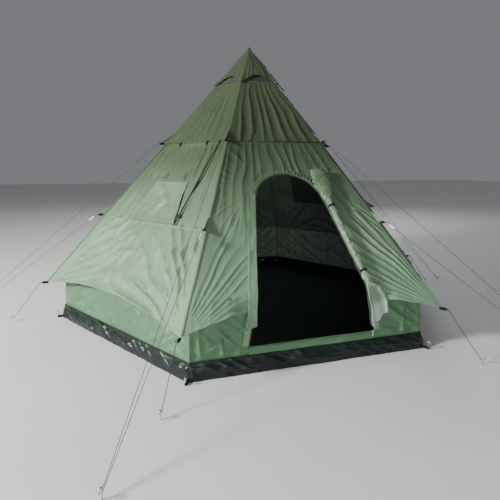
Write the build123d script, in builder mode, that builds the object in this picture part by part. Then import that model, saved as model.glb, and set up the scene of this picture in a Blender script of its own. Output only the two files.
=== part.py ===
from build123d import *
import os
from math import atan, atan2, cos, degrees, hypot, radians, sin, tan

# A six-sided teepee tent: one centre pole, a cloth pyramid with an overhanging eave,
# short upright walls and a bathtub groundsheet. Millimetres, +Z up. The origin is on the
# ground under the apex, and the door faces -Y. Cloth is drawn as flat slabs, one per face.

os.makedirs("parts", exist_ok=True)

# Outline of the tent
apex_height = 2254
ridge_rise = 1.183  # height a ridge gains for each unit of radius
floor_radius = 1550  # out to a corner of the groundsheet
tub_height = 100  # black side of the groundsheet
wall_top = 447  # where the upright walls are sewn under the roof
eave_tip_height = 290
eave_middle_height = 358
seam_height = 794  # sewn seam round the roof, where the lower guy lines start
hem_height = 1376  # lower edge of the cape, where the upper guy lines start
hem_overlap = 60
vent_low = 1900
vent_high = 2080
pocket_top = 2208

# Cloth
cloth = 2.0
seam_gap = 1.6  # keeps the slabs of neighbouring faces apart at the ridges
tape_width = 24

# Apex cap
cap_apex = 2260
cap_radius = 335
cap_corner_height = 1874
cap_arch_height = 1962
cap_top_cut = 14  # slope length left out at the tip, where the button sits

# Door
door_top = 1140
door_arch = 260  # radius of the arch
door_lean = 9.9  # degrees that each side leans inward
sill_height = 150
jamb_width = 60  # roof cloth between the door and the start of the eave
zip_width = 12
storm_flap_width = 55
storm_flap_end = 262

# Windows
window_low = 812
window_high = 1070
window_half_low = 270
window_half_high = 170
flap_overlap = 12
flap_lift = 3

# Centre pole
pole_radius = 12.5
pole_wall = 1.2
pole_base = 10
pole_top = 2196
spigot_length = 60
fit_gap = 0.1

# Guy lines and pegs
line_radius = 1.5
elastic_radius = 2.0
ring_radius = 12
ring_wire = 2
upper_tab_radius = 789
lower_tab_radius = 1276
eave_loop_radius = 1690
elastic_peg_radius = 1900
floor_peg_radius = 1578
peg_radius = {
    "front_left": 2400,
    "front_right": 2500,
    "right": 2050,
    "back_right": 2050,
    "back_left": 2050,
    "left": 2300,
}
peg_wire = 3
peg_height = 48
upper_line_on_peg = 36
lower_line_on_peg = 24

# Directions of the faces and of the corners between them, in degrees from +X
face_turns = {
    "front": -90,
    "right_front": -30,
    "right_back": 30,
    "back": 90,
    "left_back": 150,
    "left_front": 210,
}
corner_turns = {
    "front_left": 240,
    "front_right": 300,
    "right": 0,
    "back_right": 60,
    "back_left": 120,
    "left": 180,
}
window_faces = {"left": 210, "right": 30}

half_face = cos(radians(30))  # apothem of a hexagon whose corner radius is 1
roof_pitch = atan(ridge_rise / half_face)
ridge_pitch = atan(ridge_rise)
lean = radians(door_lean)


def around(turn, radius, height=0.0):
    """The point at that radius and height, in the direction turn."""
    return Vector(radius * cos(radians(turn)), radius * sin(radians(turn)), height)


def ridge_radius(height):
    return (apex_height - height) / ridge_rise


def on_roof(height):
    """Place of a height on a roof face, up its slope from the apex, so it is negative."""
    return (height - apex_height) / sin(roof_pitch)


def pitched_plane(turn, top, pitch, lift=0.0):
    """A sloping plane through the axis at height top: x runs right seen from outside, y up."""
    outward = around(turn, sin(pitch), cos(pitch))
    return Plane(
        origin=Vector(0, 0, top) + outward * lift,
        x_dir=around(turn + 90, 1),
        z_dir=outward,
    )


def roof_plane(turn, lift=0.0):
    return pitched_plane(turn, apex_height, roof_pitch, lift)


def wall_plane(turn, lift=0.0):
    """The plane of an upright wall: x runs right seen from outside, y is the height."""
    place = around(turn, ridge_radius(wall_top) * half_face + lift)
    return Plane(origin=place, x_dir=around(turn + 90, 1), z_dir=around(turn, 1))


def radial_plane(turn):
    """The upright plane through a corner: x is the radius and y the height."""
    return Plane(origin=(0, 0, 0), x_dir=around(turn, 1), z_dir=around(turn - 90, 1))


def band(low, high):
    """Corners of the strip of a roof face between two heights."""
    left_low = ridge_radius(low) / 2 - seam_gap
    left_high = ridge_radius(high) / 2 - seam_gap
    return [
        (-left_low, on_roof(low)),
        (left_low, on_roof(low)),
        (left_high, on_roof(high)),
        (-left_high, on_roof(high)),
    ]


def eave_crescent():
    """Edges of the crescent that the curved eave leaves out of a face's lower edge."""
    half = ridge_radius(eave_tip_height) / 2
    tip = on_roof(eave_tip_height)
    with BuildLine() as crescent:
        Line((-half, tip), (half, tip))
        ThreePointArc((-half, tip), (0, on_roof(eave_middle_height)), (half, tip))
    return crescent.edges()


def window_outline(grow=0.0):
    low = on_roof(window_low) - grow
    high = on_roof(window_high) + grow
    return [
        (-window_half_low - grow, low),
        (window_half_low + grow, low),
        (window_half_high + grow, high),
        (-window_half_high - grow, high),
    ]


# Door outline, in the plane of the front face
fold = on_roof(wall_top)
arch_centre = on_roof(door_top) - door_arch
arch_foot = arch_centre + door_arch * sin(lean)


def door_half(below_fold):
    """Half the door's width at a distance down the cloth from the roof's fold at the wall."""
    at_foot = door_arch * cos(lean)
    return at_foot + (arch_foot - fold + below_fold) * tan(lean)


def door_outline(grow=0.0):
    """Edges of the door's outline on the roof face, grown outward by that much."""
    side = grow / cos(lean)
    half = door_half(0) + side
    radius = door_arch + grow
    foot = (radius * cos(lean), arch_centre + radius * sin(lean))
    with BuildLine() as outline:
        Polyline((-foot[0], foot[1]), (-half, fold), (half, fold), foot)
        CenterArc((0, arch_centre), radius, door_lean, 180 - 2 * door_lean)
    return outline.edges()


sill_half = door_half(wall_top - sill_height)

# Roof panels without an opening
for name in ("right_front", "back", "left_back"):
    with BuildPart() as roof_panel:
        with BuildSketch(roof_plane(face_turns[name])):
            Polygon(*band(eave_tip_height, hem_height + hem_overlap), align=None)
            make_face(eave_crescent(), mode=Mode.SUBTRACT)
        extrude(amount=-cloth)
    roof_panel.part.label = f"roof_panel_{name}"
    export_step(roof_panel.part, f"parts/roof_panel_{name}.step")

# Roof panels with a window
for name in ("left_front", "right_back"):
    with BuildPart() as roof_panel:
        with BuildSketch(roof_plane(face_turns[name])):
            Polygon(*band(eave_tip_height, hem_height + hem_overlap), align=None)
            make_face(eave_crescent(), mode=Mode.SUBTRACT)
            Polygon(*window_outline(), align=None, mode=Mode.SUBTRACT)
        extrude(amount=-cloth)
    roof_panel.part.label = f"roof_panel_{name}"
    export_step(roof_panel.part, f"parts/roof_panel_{name}.step")

# Front roof panel: the door cuts it, and the eave stops on each side of the door
eave_end = door_half(0) + jamb_width
eave_end_height = 350
with BuildPart() as roof_panel_front:
    with BuildSketch(roof_plane(face_turns["front"])):
        Polygon(*band(eave_tip_height, hem_height + hem_overlap), align=None)
        tip_half = ridge_radius(eave_tip_height) / 2
        tip = on_roof(eave_tip_height)
        Polygon(
            (-eave_end, fold),
            (-eave_end - jamb_width, on_roof(eave_end_height)),
            (-tip_half, tip),
            (tip_half, tip),
            (eave_end + jamb_width, on_roof(eave_end_height)),
            (eave_end, fold),
            align=None,
            mode=Mode.SUBTRACT,
        )
        make_face(door_outline(), mode=Mode.SUBTRACT)
    extrude(amount=-cloth)
roof_panel_front.part.label = "roof_panel_front"
export_step(roof_panel_front.part, "parts/roof_panel_front.step")

# Cape: the upper cone, lying on the roof panels at its hem
with BuildPart() as upper_cape:
    for turn in face_turns.values():
        with BuildSketch(roof_plane(turn)):
            Polygon(*band(hem_height, vent_low), align=None)
        extrude(amount=cloth)
upper_cape.part.label = "upper_cape"
export_step(upper_cape.part, "parts/upper_cape.step")

# Vent mesh and apex pocket close the cone above the cape
with BuildPart() as vent_mesh:
    for turn in face_turns.values():
        with BuildSketch(roof_plane(turn)):
            Polygon(*band(vent_low + 1, vent_high - 1), align=None)
        extrude(amount=-cloth)
vent_mesh.part.label = "vent_mesh"
export_step(vent_mesh.part, "parts/vent_mesh.step")

with BuildPart() as apex_pocket:
    for turn in face_turns.values():
        with BuildSketch(roof_plane(turn)):
            Polygon(*band(vent_high, pocket_top), align=None)
        extrude(amount=-cloth)
apex_pocket.part.label = "apex_pocket"
export_step(apex_pocket.part, "parts/apex_pocket.step")

# Apex cap: six scalloped panels
cap_rise = (cap_apex - cap_corner_height) / cap_radius
cap_pitch = atan(cap_rise / half_face)
cap_corner = (cap_corner_height - cap_apex) / sin(cap_pitch)
cap_arch = (cap_arch_height - cap_apex) / sin(cap_pitch)
cap_top_half = cap_top_cut * sin(cap_pitch) / cap_rise / 2 - seam_gap
with BuildPart() as apex_cap:
    for turn in face_turns.values():
        with BuildSketch(pitched_plane(turn, cap_apex, cap_pitch)):
            with BuildLine():
                half = cap_radius / 2 - seam_gap
                Polyline(
                    (-half, cap_corner),
                    (-cap_top_half, -cap_top_cut),
                    (cap_top_half, -cap_top_cut),
                    (half, cap_corner),
                )
                ThreePointArc((-half, cap_corner), (0, cap_arch), (half, cap_corner))
            make_face()
        extrude(amount=-cloth)
apex_cap.part.label = "apex_cap"
export_step(apex_cap.part, "parts/apex_cap.step")

# Button over the point where the cap's panels meet
button_seat = cap_apex - cap_top_cut * sin(cap_pitch) + 0.2
with BuildPart(Plane.XY.offset(button_seat)) as cap_button:
    Cone(14, 5, 10, align=(Align.CENTER, Align.CENTER, Align.MIN))
cap_button.part.label = "cap_button"
export_step(cap_button.part, "parts/cap_button.step")

# Tapes over the ridges between the roof panels
with BuildPart() as ridge_tapes:
    for turn in corner_turns.values():
        ridge = pitched_plane(turn, apex_height, ridge_pitch)
        low = (eave_tip_height - apex_height) / sin(ridge_pitch)
        high = (hem_height - cloth - apex_height) / sin(ridge_pitch)
        with BuildSketch(ridge):
            with Locations((0, (low + high) / 2)):
                Rectangle(tape_width, high - low)
        extrude(amount=cloth)
ridge_tapes.part.label = "ridge_tapes"
export_step(ridge_tapes.part, "parts/ridge_tapes.step")

# Upright walls: five whole ones and the front one on each side of the door
wall_low = tub_height + 0.5
wall_high = wall_top - 3.5
wall_half = ridge_radius(wall_top) / 2 - seam_gap
with BuildPart() as wall_panels:
    for name, turn in face_turns.items():
        if name == "front":
            continue
        with BuildSketch(wall_plane(turn)):
            with Locations((0, (wall_low + wall_high) / 2)):
                Rectangle(2 * wall_half, wall_high - wall_low)
        extrude(amount=-cloth)
    with BuildSketch(wall_plane(face_turns["front"])):
        for side in (-1, 1):
            Polygon(
                (side * wall_half, wall_low),
                (side * sill_half, wall_low),
                (side * sill_half, sill_height),
                (side * door_half(wall_top - wall_high), wall_high),
                (side * wall_half, wall_high),
                align=None,
            )
    extrude(amount=-cloth)
wall_panels.part.label = "wall_panels"
export_step(wall_panels.part, "parts/wall_panels.step")

# Sill: the doubled strip of wall under the door
with BuildPart() as door_sill:
    with BuildSketch(wall_plane(face_turns["front"], -cloth)):
        with Locations((0, (wall_low + sill_height) / 2)):
            Rectangle(2 * sill_half - 1, sill_height - wall_low)
    extrude(amount=2 * cloth)
door_sill.part.label = "door_sill"
export_step(door_sill.part, "parts/door_sill.step")

# Groundsheet: the floor and its black sides
with BuildPart() as floor_sheet:
    with BuildSketch():
        RegularPolygon(radius=floor_radius, side_count=6)
    extrude(amount=cloth)
floor_sheet.part.label = "floor_sheet"
export_step(floor_sheet.part, "parts/floor_sheet.step")

tub_lean = atan((floor_radius - ridge_radius(wall_top)) * half_face / tub_height)
tub_foot = cloth + 0.7
with BuildPart() as tub_sides:
    for turn in face_turns.values():
        side_plane = Plane(
            origin=around(turn, floor_radius * half_face),
            x_dir=around(turn + 90, 1),
            z_dir=around(turn, cos(tub_lean), sin(tub_lean)),
        )
        foot_half = floor_radius / 2 - seam_gap - 0.3
        with BuildSketch(side_plane):
            Polygon(
                (-foot_half, tub_foot),
                (foot_half, tub_foot),
                (wall_half, tub_height / cos(tub_lean)),
                (-wall_half, tub_height / cos(tub_lean)),
                align=None,
            )
        extrude(amount=-cloth)
tub_sides.part.label = "tub_sides"
export_step(tub_sides.part, "parts/tub_sides.step")

with BuildPart() as pole_patch:
    with BuildSketch(Plane.XY.offset(cloth)):
        RegularPolygon(radius=110, side_count=8)
    extrude(amount=cloth)
pole_patch.part.label = "pole_patch"
export_step(pole_patch.part, "parts/pole_patch.step")

# Centre pole: three tubes, each with a spigot that the next tube slides over
section_length = (pole_top - pole_base) / 3
bore_radius = pole_radius - pole_wall
spigot_radius = bore_radius - fit_gap
for number, name in enumerate(("pole_lower", "pole_middle", "pole_upper")):
    foot = pole_base + number * section_length
    with BuildPart(Plane.XY.offset(foot)) as pole:
        upright = (Align.CENTER, Align.CENTER, Align.MIN)
        Cylinder(pole_radius, section_length, align=upright)
        Cylinder(bore_radius, section_length, align=upright, mode=Mode.SUBTRACT)
        if name != "pole_upper":
            with Locations((0, 0, section_length - 20)):
                Cylinder(bore_radius, 20, align=upright)
            with Locations((0, 0, section_length)):
                Cylinder(spigot_radius, spigot_length, align=upright)
            with Locations((0, 0, section_length - 20)):
                Cylinder(
                    spigot_radius - pole_wall,
                    spigot_length + 20,
                    align=upright,
                    mode=Mode.SUBTRACT,
                )
    pole.part.label = name
    export_step(pole.part, f"parts/{name}.step")

with BuildPart(Plane.XY.offset(2 * cloth)) as pole_foot:
    Cylinder(17, 34, align=upright)
    with Locations((0, 0, pole_base - 2 * cloth)):
        Cylinder(pole_radius + fit_gap, 40, align=upright, mode=Mode.SUBTRACT)
    fillet(pole_foot.edges().filter_by(GeomType.CIRCLE).sort_by(Axis.Z)[0], 3)
pole_foot.part.label = "pole_foot"
export_step(pole_foot.part, "parts/pole_foot.step")

with BuildPart(Plane.XY.offset(pole_top - 24)) as pole_tip:
    Cylinder(spigot_radius, 24, align=upright)
    with Locations((0, 0, 24)):
        Cylinder(pole_radius, 18, align=upright)
    fillet(pole_tip.edges().filter_by(GeomType.CIRCLE).sort_by(Axis.Z)[-1], 9)
pole_tip.part.label = "pole_tip"
export_step(pole_tip.part, "parts/pole_tip.step")

# Outer door, gathered into a soft roll along its right edge: place across the face,
# height and radius of the roll at each station, then the loose end that hangs below
roll_stations = [
    (150, 1118, 16),
    (205, 1068, 30),
    (252, 985, 42),
    (278, 905, 27),
    (294, 820, 26),
    (318, 680, 23),
    (345, 550, 26),
    (354, 512, 24),
    (362, 478, 26),
]
loose_stations = [(372, 428, 30, 18), (384, 330, 54, 18), (392, 190, 74, 14)]
roll_gap = 9


def roll_planes(stations, side):
    """Planes across a roll that lies outside (side 1) or inside (side -1) the front face."""
    face = roof_plane(face_turns["front"])
    points = [
        face.from_local_coords(Vector(s, on_roof(h), side * (r + roll_gap)))
        for s, h, r in stations
    ]
    before = [points[0]] + points[:-1]
    after = points[1:] + [points[-1]]
    return [
        Plane(origin=point, z_dir=end - start)
        for start, point, end in zip(before, points, after)
    ]


front_wall = ridge_radius(wall_top) * half_face
with BuildPart() as door_flap:
    for across_roll, station in zip(roll_planes(roll_stations, 1), roll_stations):
        with BuildSketch(across_roll):
            Circle(station[2])
    loft(ruled=True)
    for across, height, half_wide, half_thick in loose_stations:
        place = (across, -front_wall - half_thick - 10, height)
        with BuildSketch(Plane(origin=place, x_dir=(1, 0, 0), z_dir=(0, 0, -1))):
            Ellipse(half_wide, half_thick)
    loft(ruled=True)
door_flap.part.label = "door_flap"
export_step(door_flap.part, "parts/door_flap.step")

# Mosquito mesh door, rolled up inside along the same edge
mesh_stations = [
    (150, 1085, 9),
    (225, 1010, 15),
    (285, 860, 15),
    (318, 700, 15),
    (352, 540, 15),
    (372, 470, 15),
]
mesh_foot_stations = [(382, 420, 15), (392, 300, 15), (404, 172, 15)]
with BuildPart() as mesh_door:
    for across_roll, station in zip(roll_planes(mesh_stations, -1), mesh_stations):
        with BuildSketch(across_roll):
            Circle(station[2])
    loft(ruled=True)
    for across, height, radius in mesh_foot_stations:
        place = (across, -front_wall + cloth + radius + roll_gap, height)
        with BuildSketch(Plane(origin=place, x_dir=(1, 0, 0), z_dir=(0, 0, -1))):
            Circle(radius)
    loft(ruled=True)
mesh_door.part.label = "mesh_door"
export_step(mesh_door.part, "parts/mesh_door.step")

# Ties round the gathered door at two of its stations, each a band with a toggle
with BuildPart() as door_ties:
    face = roof_plane(face_turns["front"])
    for number in (3, 7):
        band_plane = roll_planes(roll_stations, 1)[number]
        band_radius = roll_stations[number][2] + 4
        with BuildSketch(band_plane):
            Circle(band_radius + cloth)
            Circle(band_radius, mode=Mode.SUBTRACT)
        extrude(amount=6, both=True)
        outer = band_plane.origin + face.z_dir * (band_radius + cloth + 4.5)
        with BuildSketch(Plane(origin=outer, z_dir=face.x_dir)):
            Circle(4)
        extrude(amount=16, both=True)
door_ties.part.label = "door_ties"
export_step(door_ties.part, "parts/door_ties.step")

# Zip tape round the door: over the arch, down both sides of the wall and along the sill
with BuildPart() as door_zip:
    with BuildSketch(roof_plane(face_turns["front"])):
        make_face(door_outline(zip_width))
        make_face(door_outline(), mode=Mode.SUBTRACT)
        with Locations((0, fold)):
            Rectangle(4 * sill_half, 8, mode=Mode.SUBTRACT)
    extrude(amount=cloth / 2)
    strip_top = wall_high - 8
    with BuildSketch(wall_plane(face_turns["front"])):
        for side in (-1, 1):
            Polygon(
                (side * sill_half, sill_height),
                (side * (sill_half + zip_width), sill_height),
                (side * (door_half(wall_top - strip_top) + zip_width), strip_top),
                (side * door_half(wall_top - strip_top), strip_top),
                align=None,
            )
    extrude(amount=cloth / 2)
    with BuildSketch(wall_plane(face_turns["front"], cloth)):
        with Locations((0, sill_height - zip_width / 2)):
            Rectangle(2 * sill_half - 2, zip_width)
    extrude(amount=cloth / 2)
door_zip.part.label = "door_zip"
export_step(door_zip.part, "parts/door_zip.step")

# Storm flap over the zip of the left side, ending loose near the sill
with BuildPart() as storm_flap:
    with BuildSketch(roof_plane(face_turns["front"], cloth)):
        low_edge = -door_half(-3)
        high_edge = -door_half(fold - arch_foot)
        Polygon(
            (low_edge - storm_flap_width, fold + 3),
            (low_edge + 5, fold + 3),
            (high_edge + 5, arch_foot),
            (high_edge - storm_flap_width, arch_foot),
            align=None,
        )
    extrude(amount=cloth)
    with BuildSketch(wall_plane(face_turns["front"], cloth)):
        low_edge = -door_half(wall_top - storm_flap_end)
        high_edge = -door_half(0)
        Polygon(
            (low_edge - storm_flap_width, storm_flap_end),
            (low_edge + 5, storm_flap_end),
            (high_edge + 5, wall_top - 1),
            (high_edge - storm_flap_width, wall_top - 1),
            align=None,
        )
    extrude(amount=cloth)
storm_flap.part.label = "storm_flap"
export_step(storm_flap.part, "parts/storm_flap.step")


def zip_slider(seat):
    """A zip slider standing on the plane seat, its pull tab towards the plane's -y."""
    with BuildPart() as slider:
        with BuildSketch(seat):
            RectangleRounded(16, 12, 3)
        extrude(amount=5)
        with BuildSketch(seat.offset(2)):
            with Locations((0, -17)):
                RectangleRounded(6, 26, 2)
                Circle(1.5, mode=Mode.SUBTRACT)
        extrude(amount=1.6)
    return slider


# Slider of the arch zip, parked beside the gathered door, and slider of the sill zip
arch_slider_turn = 66
slider_path = door_arch + zip_width / 2
front_face = roof_plane(face_turns["front"])
arch_slider_place = front_face.from_local_coords(
    Vector(
        slider_path * cos(radians(arch_slider_turn)),
        arch_centre + slider_path * sin(radians(arch_slider_turn)),
        cloth / 2 + 0.5,
    )
)
inward = front_face.x_dir * sin(radians(arch_slider_turn)) - front_face.y_dir * cos(
    radians(arch_slider_turn)
)
arch_zip_slider = zip_slider(
    Plane(origin=arch_slider_place, x_dir=-inward, z_dir=front_face.z_dir)
)
arch_zip_slider.part.label = "arch_zip_slider"
export_step(arch_zip_slider.part, "parts/arch_zip_slider.step")

sill_slider_x = sill_half - 18
sill_zip_slider = zip_slider(
    Plane(
        origin=(sill_slider_x, -front_wall - 1.5 * cloth - 0.5, sill_height - zip_width / 2),
        x_dir=(1, 0, 0),
        z_dir=(0, -1, 0),
    )
)
sill_zip_slider.part.label = "sill_zip_slider"
export_step(sill_zip_slider.part, "parts/sill_zip_slider.step")

# Windows: a flap over the opening and a mesh behind it
for name, turn in window_faces.items():
    with BuildPart() as window_flap:
        with BuildSketch(roof_plane(turn, flap_lift)):
            Polygon(*window_outline(flap_overlap), align=None)
        extrude(amount=cloth)
    window_flap.part.label = f"window_flap_{name}"
    export_step(window_flap.part, f"parts/window_flap_{name}.step")

with BuildPart() as window_meshes:
    for turn in window_faces.values():
        with BuildSketch(roof_plane(turn, -cloth - 0.5)):
            Polygon(*window_outline(flap_overlap), align=None)
        extrude(amount=-cloth / 2)
window_meshes.part.label = "window_meshes"
export_step(window_meshes.part, "parts/window_meshes.step")

# Ties that hold a rolled-up window flap, above the hinge line
window_tie_place = 105
with BuildPart() as window_ties:
    for turn in window_faces.values():
        for side in (-1, 1):
            with BuildSketch(roof_plane(turn)):
                with Locations((side * window_tie_place, on_roof(window_high) + 60)):
                    Rectangle(10, 64)
            extrude(amount=cloth / 2)
            with BuildSketch(roof_plane(turn, cloth / 2)):
                with Locations((side * window_tie_place, on_roof(window_high) + 34)):
                    SlotOverall(28, 7)
            extrude(amount=6)
window_ties.part.label = "window_ties"
export_step(window_ties.part, "parts/window_ties.step")

# Loops on the hem above each window
hem_loop_place = 160
with BuildPart() as hem_loops:
    for turn in window_faces.values():
        for side in (-1, 1):
            with BuildSketch(roof_plane(turn, cloth)):
                with Locations((side * hem_loop_place, on_roof(hem_height) - 8)):
                    Rectangle(12, 56)
            extrude(amount=cloth)
hem_loops.part.label = "hem_loops"
export_step(hem_loops.part, "parts/hem_loops.step")

# Straps beside the windows, from the hem to the seam, with a slider buckle on each
strap_place = 300
strap_width = 20
strap_low = on_roof(seam_height)
strap_high = on_roof(hem_height) - 4
with BuildPart() as window_straps:
    for turn in window_faces.values():
        with BuildSketch(roof_plane(turn, flap_lift)):
            with Locations((strap_place, (strap_low + strap_high) / 2)):
                Rectangle(strap_width, strap_high - strap_low)
        extrude(amount=cloth)
window_straps.part.label = "window_straps"
export_step(window_straps.part, "parts/window_straps.step")

buckle_height = 850
for name, turn in window_faces.items():
    seat = roof_plane(turn, 0.8)
    with BuildPart() as strap_buckle:
        with BuildSketch(seat):
            with Locations((strap_place, on_roof(buckle_height))):
                RectangleRounded(34, 28, 4)
        extrude(amount=7)
        with BuildSketch(roof_plane(turn, flap_lift - 0.6)):
            with Locations((strap_place, on_roof(buckle_height))):
                Rectangle(strap_width + 2, 60)
        extrude(amount=cloth + 1.2, mode=Mode.SUBTRACT)
    strap_buckle.part.label = f"strap_buckle_{name}"
    export_step(strap_buckle.part, f"parts/strap_buckle_{name}.step")

# Triangular tabs on the ridges, each with a hole for its ring
tab_hole = 4
tab_levels = {
    "upper": (hem_height, upper_tab_radius, 105),
    "lower": (seam_height, lower_tab_radius, 85),
}
with BuildPart() as guy_tabs:
    for turn in corner_turns.values():
        for height, reach, rise in tab_levels.values():
            with BuildSketch(radial_plane(turn)):
                Polygon(
                    (ridge_radius(height) + 4, height),
                    (reach, height - 4),
                    (reach, height + 14),
                    (ridge_radius(height + rise) + 4, height + rise),
                    align=None,
                )
                with Locations((reach - 8, height + 5)):
                    Circle(tab_hole, mode=Mode.SUBTRACT)
            extrude(amount=1.5, both=True)
guy_tabs.part.label = "guy_tabs"
export_step(guy_tabs.part, "parts/guy_tabs.step")

# Webbing loops at the eave corners and at the floor corners
eave_loop_height = 283
with BuildPart() as corner_loops:
    for turn in corner_turns.values():
        with BuildSketch(radial_plane(turn)):
            Polygon(
                (ridge_radius(eave_tip_height) + 4, eave_loop_height + 10),
                (eave_loop_radius, eave_loop_height + 7),
                (eave_loop_radius, eave_loop_height - 9),
                (ridge_radius(eave_tip_height) + 4, eave_loop_height - 12),
                align=None,
            )
            with Locations((eave_loop_radius - 8, eave_loop_height)):
                Circle(tab_hole, mode=Mode.SUBTRACT)
        extrude(amount=1.5, both=True)
        floor_loop = Plane(
            origin=around(turn, floor_peg_radius, cloth + 0.2), x_dir=around(turn, 1)
        )
        with BuildSketch(floor_loop):
            with Locations((-5, 0)):
                Rectangle(40, 22)
            Circle(peg_wire + 1.5, mode=Mode.SUBTRACT)
        extrude(amount=cloth)
corner_loops.part.label = "corner_loops"
export_step(corner_loops.part, "parts/corner_loops.step")

# Rings through the tabs and the eave loops
ring_places = [
    (upper_tab_radius - 8, hem_height + 5),
    (lower_tab_radius - 8, seam_height + 5),
    (eave_loop_radius - 8, eave_loop_height),
]
with BuildPart() as guy_rings:
    for turn in corner_turns.values():
        for reach, height in ring_places:
            with Locations(around(turn, reach + ring_radius, height)):
                Torus(ring_radius, ring_wire)
guy_rings.part.label = "guy_rings"
export_step(guy_rings.part, "parts/guy_rings.step")

# Pegs: what stands above the ground, a bent wire hooked away from the tent
with BuildPart() as tent_pegs:
    for name, turn in corner_turns.items():
        for reach in (peg_radius[name], elastic_peg_radius, floor_peg_radius):
            foot = Plane(
                origin=around(turn, reach), x_dir=around(turn, 1), z_dir=around(turn - 90, 1)
            )
            with BuildLine(foot) as wire:
                Line((0, 0), (0, peg_height - 9))
                ThreePointArc((0, peg_height - 9), (9, peg_height), (18, peg_height - 9))
                Line((18, peg_height - 9), (18, peg_height - 17))
            with BuildSketch(Plane(origin=around(turn, reach), z_dir=(0, 0, 1))):
                Circle(peg_wire)
            sweep(path=wire.wire())
tent_pegs.part.label = "tent_pegs"
export_step(tent_pegs.part, "parts/tent_pegs.step")


# Guy lines, taut from the ring of a tab to the peg
past_ring = 2 * ring_radius + ring_wire + 1
line_ends = {}
for name, turn in corner_turns.items():
    for level, (height, reach, rise) in tab_levels.items():
        on_peg = upper_line_on_peg if level == "upper" else lower_line_on_peg
        start = around(turn, reach - 8 + past_ring, height + 5)
        end = around(turn, peg_radius[name] - peg_wire - line_radius, on_peg)
        line_ends[level, name] = (start, end)
        with BuildPart() as guy_line:
            with BuildSketch(Plane(origin=start, z_dir=end - start)):
                Circle(line_radius)
            extrude(amount=(end - start).length)
        guy_line.part.label = f"guy_line_{level}_{name}"
        export_step(guy_line.part, f"parts/guy_line_{level}_{name}.step")

with BuildPart() as eave_elastics:
    for turn in corner_turns.values():
        start = around(turn, eave_loop_radius - 7 + past_ring, eave_loop_height)
        end = around(turn, elastic_peg_radius - peg_wire - elastic_radius, lower_line_on_peg)
        with BuildSketch(Plane(origin=start, z_dir=end - start)):
            Circle(elastic_radius)
        extrude(amount=(end - start).length)
eave_elastics.part.label = "eave_elastics"
export_step(eave_elastics.part, "parts/eave_elastics.step")

# Runners on the lower lines, just below their rings
runner_place = 48
runner_length = 44
for name in corner_turns:
    start, end = line_ends["lower", name]
    along = (end - start).normalized()
    with BuildPart() as runner:
        with BuildSketch(Plane(origin=start + along * runner_place, z_dir=along)):
            SlotOverall(16, 10)
            Circle(line_radius + 0.6, mode=Mode.SUBTRACT)
        extrude(amount=runner_length / 2, both=True)
    runner.part.label = f"runner_{name}"
    export_step(runner.part, f"parts/runner_{name}.step")
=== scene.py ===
from math import atan, cos, hypot, pi, radians, sin, sqrt, tan
import bpy
import numpy as np
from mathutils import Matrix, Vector


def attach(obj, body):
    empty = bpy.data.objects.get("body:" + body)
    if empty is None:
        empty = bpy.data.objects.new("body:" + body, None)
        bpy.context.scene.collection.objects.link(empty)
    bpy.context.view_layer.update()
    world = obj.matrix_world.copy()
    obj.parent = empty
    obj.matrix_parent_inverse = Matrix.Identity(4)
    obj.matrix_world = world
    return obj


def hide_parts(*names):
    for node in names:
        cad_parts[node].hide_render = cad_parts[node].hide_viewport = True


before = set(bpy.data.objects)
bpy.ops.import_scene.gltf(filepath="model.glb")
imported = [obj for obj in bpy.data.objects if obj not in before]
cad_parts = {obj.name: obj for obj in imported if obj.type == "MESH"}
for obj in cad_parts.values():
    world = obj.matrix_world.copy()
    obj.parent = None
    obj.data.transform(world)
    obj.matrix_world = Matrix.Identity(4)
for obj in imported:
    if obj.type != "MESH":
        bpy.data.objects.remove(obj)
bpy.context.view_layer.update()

# A six-sided teepee tent. Metres, in the row frame: +Z up, the door faces -Y. Each face of
# cloth is a fine sheet on the CAD slab's plane, with its folds, seams and hems as geometry.

# The tent's outline, as in the CAD model
APEX = 2.254
RISE = 1.183  # height a ridge gains for each unit of radius
FLOOR_RADIUS = 1.55
TUB_HEIGHT = 0.100
WALL_TOP = 0.447
EAVE_TIP = 0.290
EAVE_MIDDLE = 0.358
EAVE_MEAN = 0.335
EAVE_END = 0.383  # beside the door, where the cloth is drawn back to the wall
SEAM = 0.794
HEM = 1.376
HEM_OVERLAP = 0.050
VENT_LOW = 1.900
CAP_APEX = 2.260
CAP_RADIUS = 0.335
CAP_CORNER = 1.874
CAP_ARCH = 1.962
DOOR_TOP = 1.140
DOOR_ARCH = 0.260
DOOR_LEAN = radians(9.9)
SILL = 0.150
WINDOW_LOW, WINDOW_HIGH = 0.812, 1.070
WINDOW_HALF_LOW, WINDOW_HALF_HIGH = 0.270, 0.170

FACES = {
    "front": -90,
    "right_front": -30,
    "right_back": 30,
    "back": 90,
    "left_back": 150,
    "left_front": 210,
}
CORNERS = {
    "front_left": 240,
    "front_right": 300,
    "right": 0,
    "back_right": 60,
    "back_left": 120,
    "left": 180,
}
WINDOW_FACES = {"left_front": "left", "right_back": "right"}

CLOTH, WEBBING = 0.0012, 0.0014  # thickness of the sheets, and of webbing and ties
WELD = 0.00002  # distance at which doubled points are joined
HALF_FACE = cos(radians(30))
PITCH = atan(RISE / HALF_FACE)
RIDGE_PITCH = atan(RISE)


# Geometry --------------------------------------------------------------------------------


def around(turn, radius, height=0.0):
    """The point at that radius and height, in the direction turn."""
    return np.array([radius * cos(radians(turn)), radius * sin(radians(turn)), height])


def ridge_radius(height):
    """How far a ridge is from the tent's middle at a height."""
    return (APEX - height) / RISE


def on_roof(height):
    """Place of a height on a roof face, up its slope from the apex, so it is negative."""
    return (height - APEX) / sin(PITCH)


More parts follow.
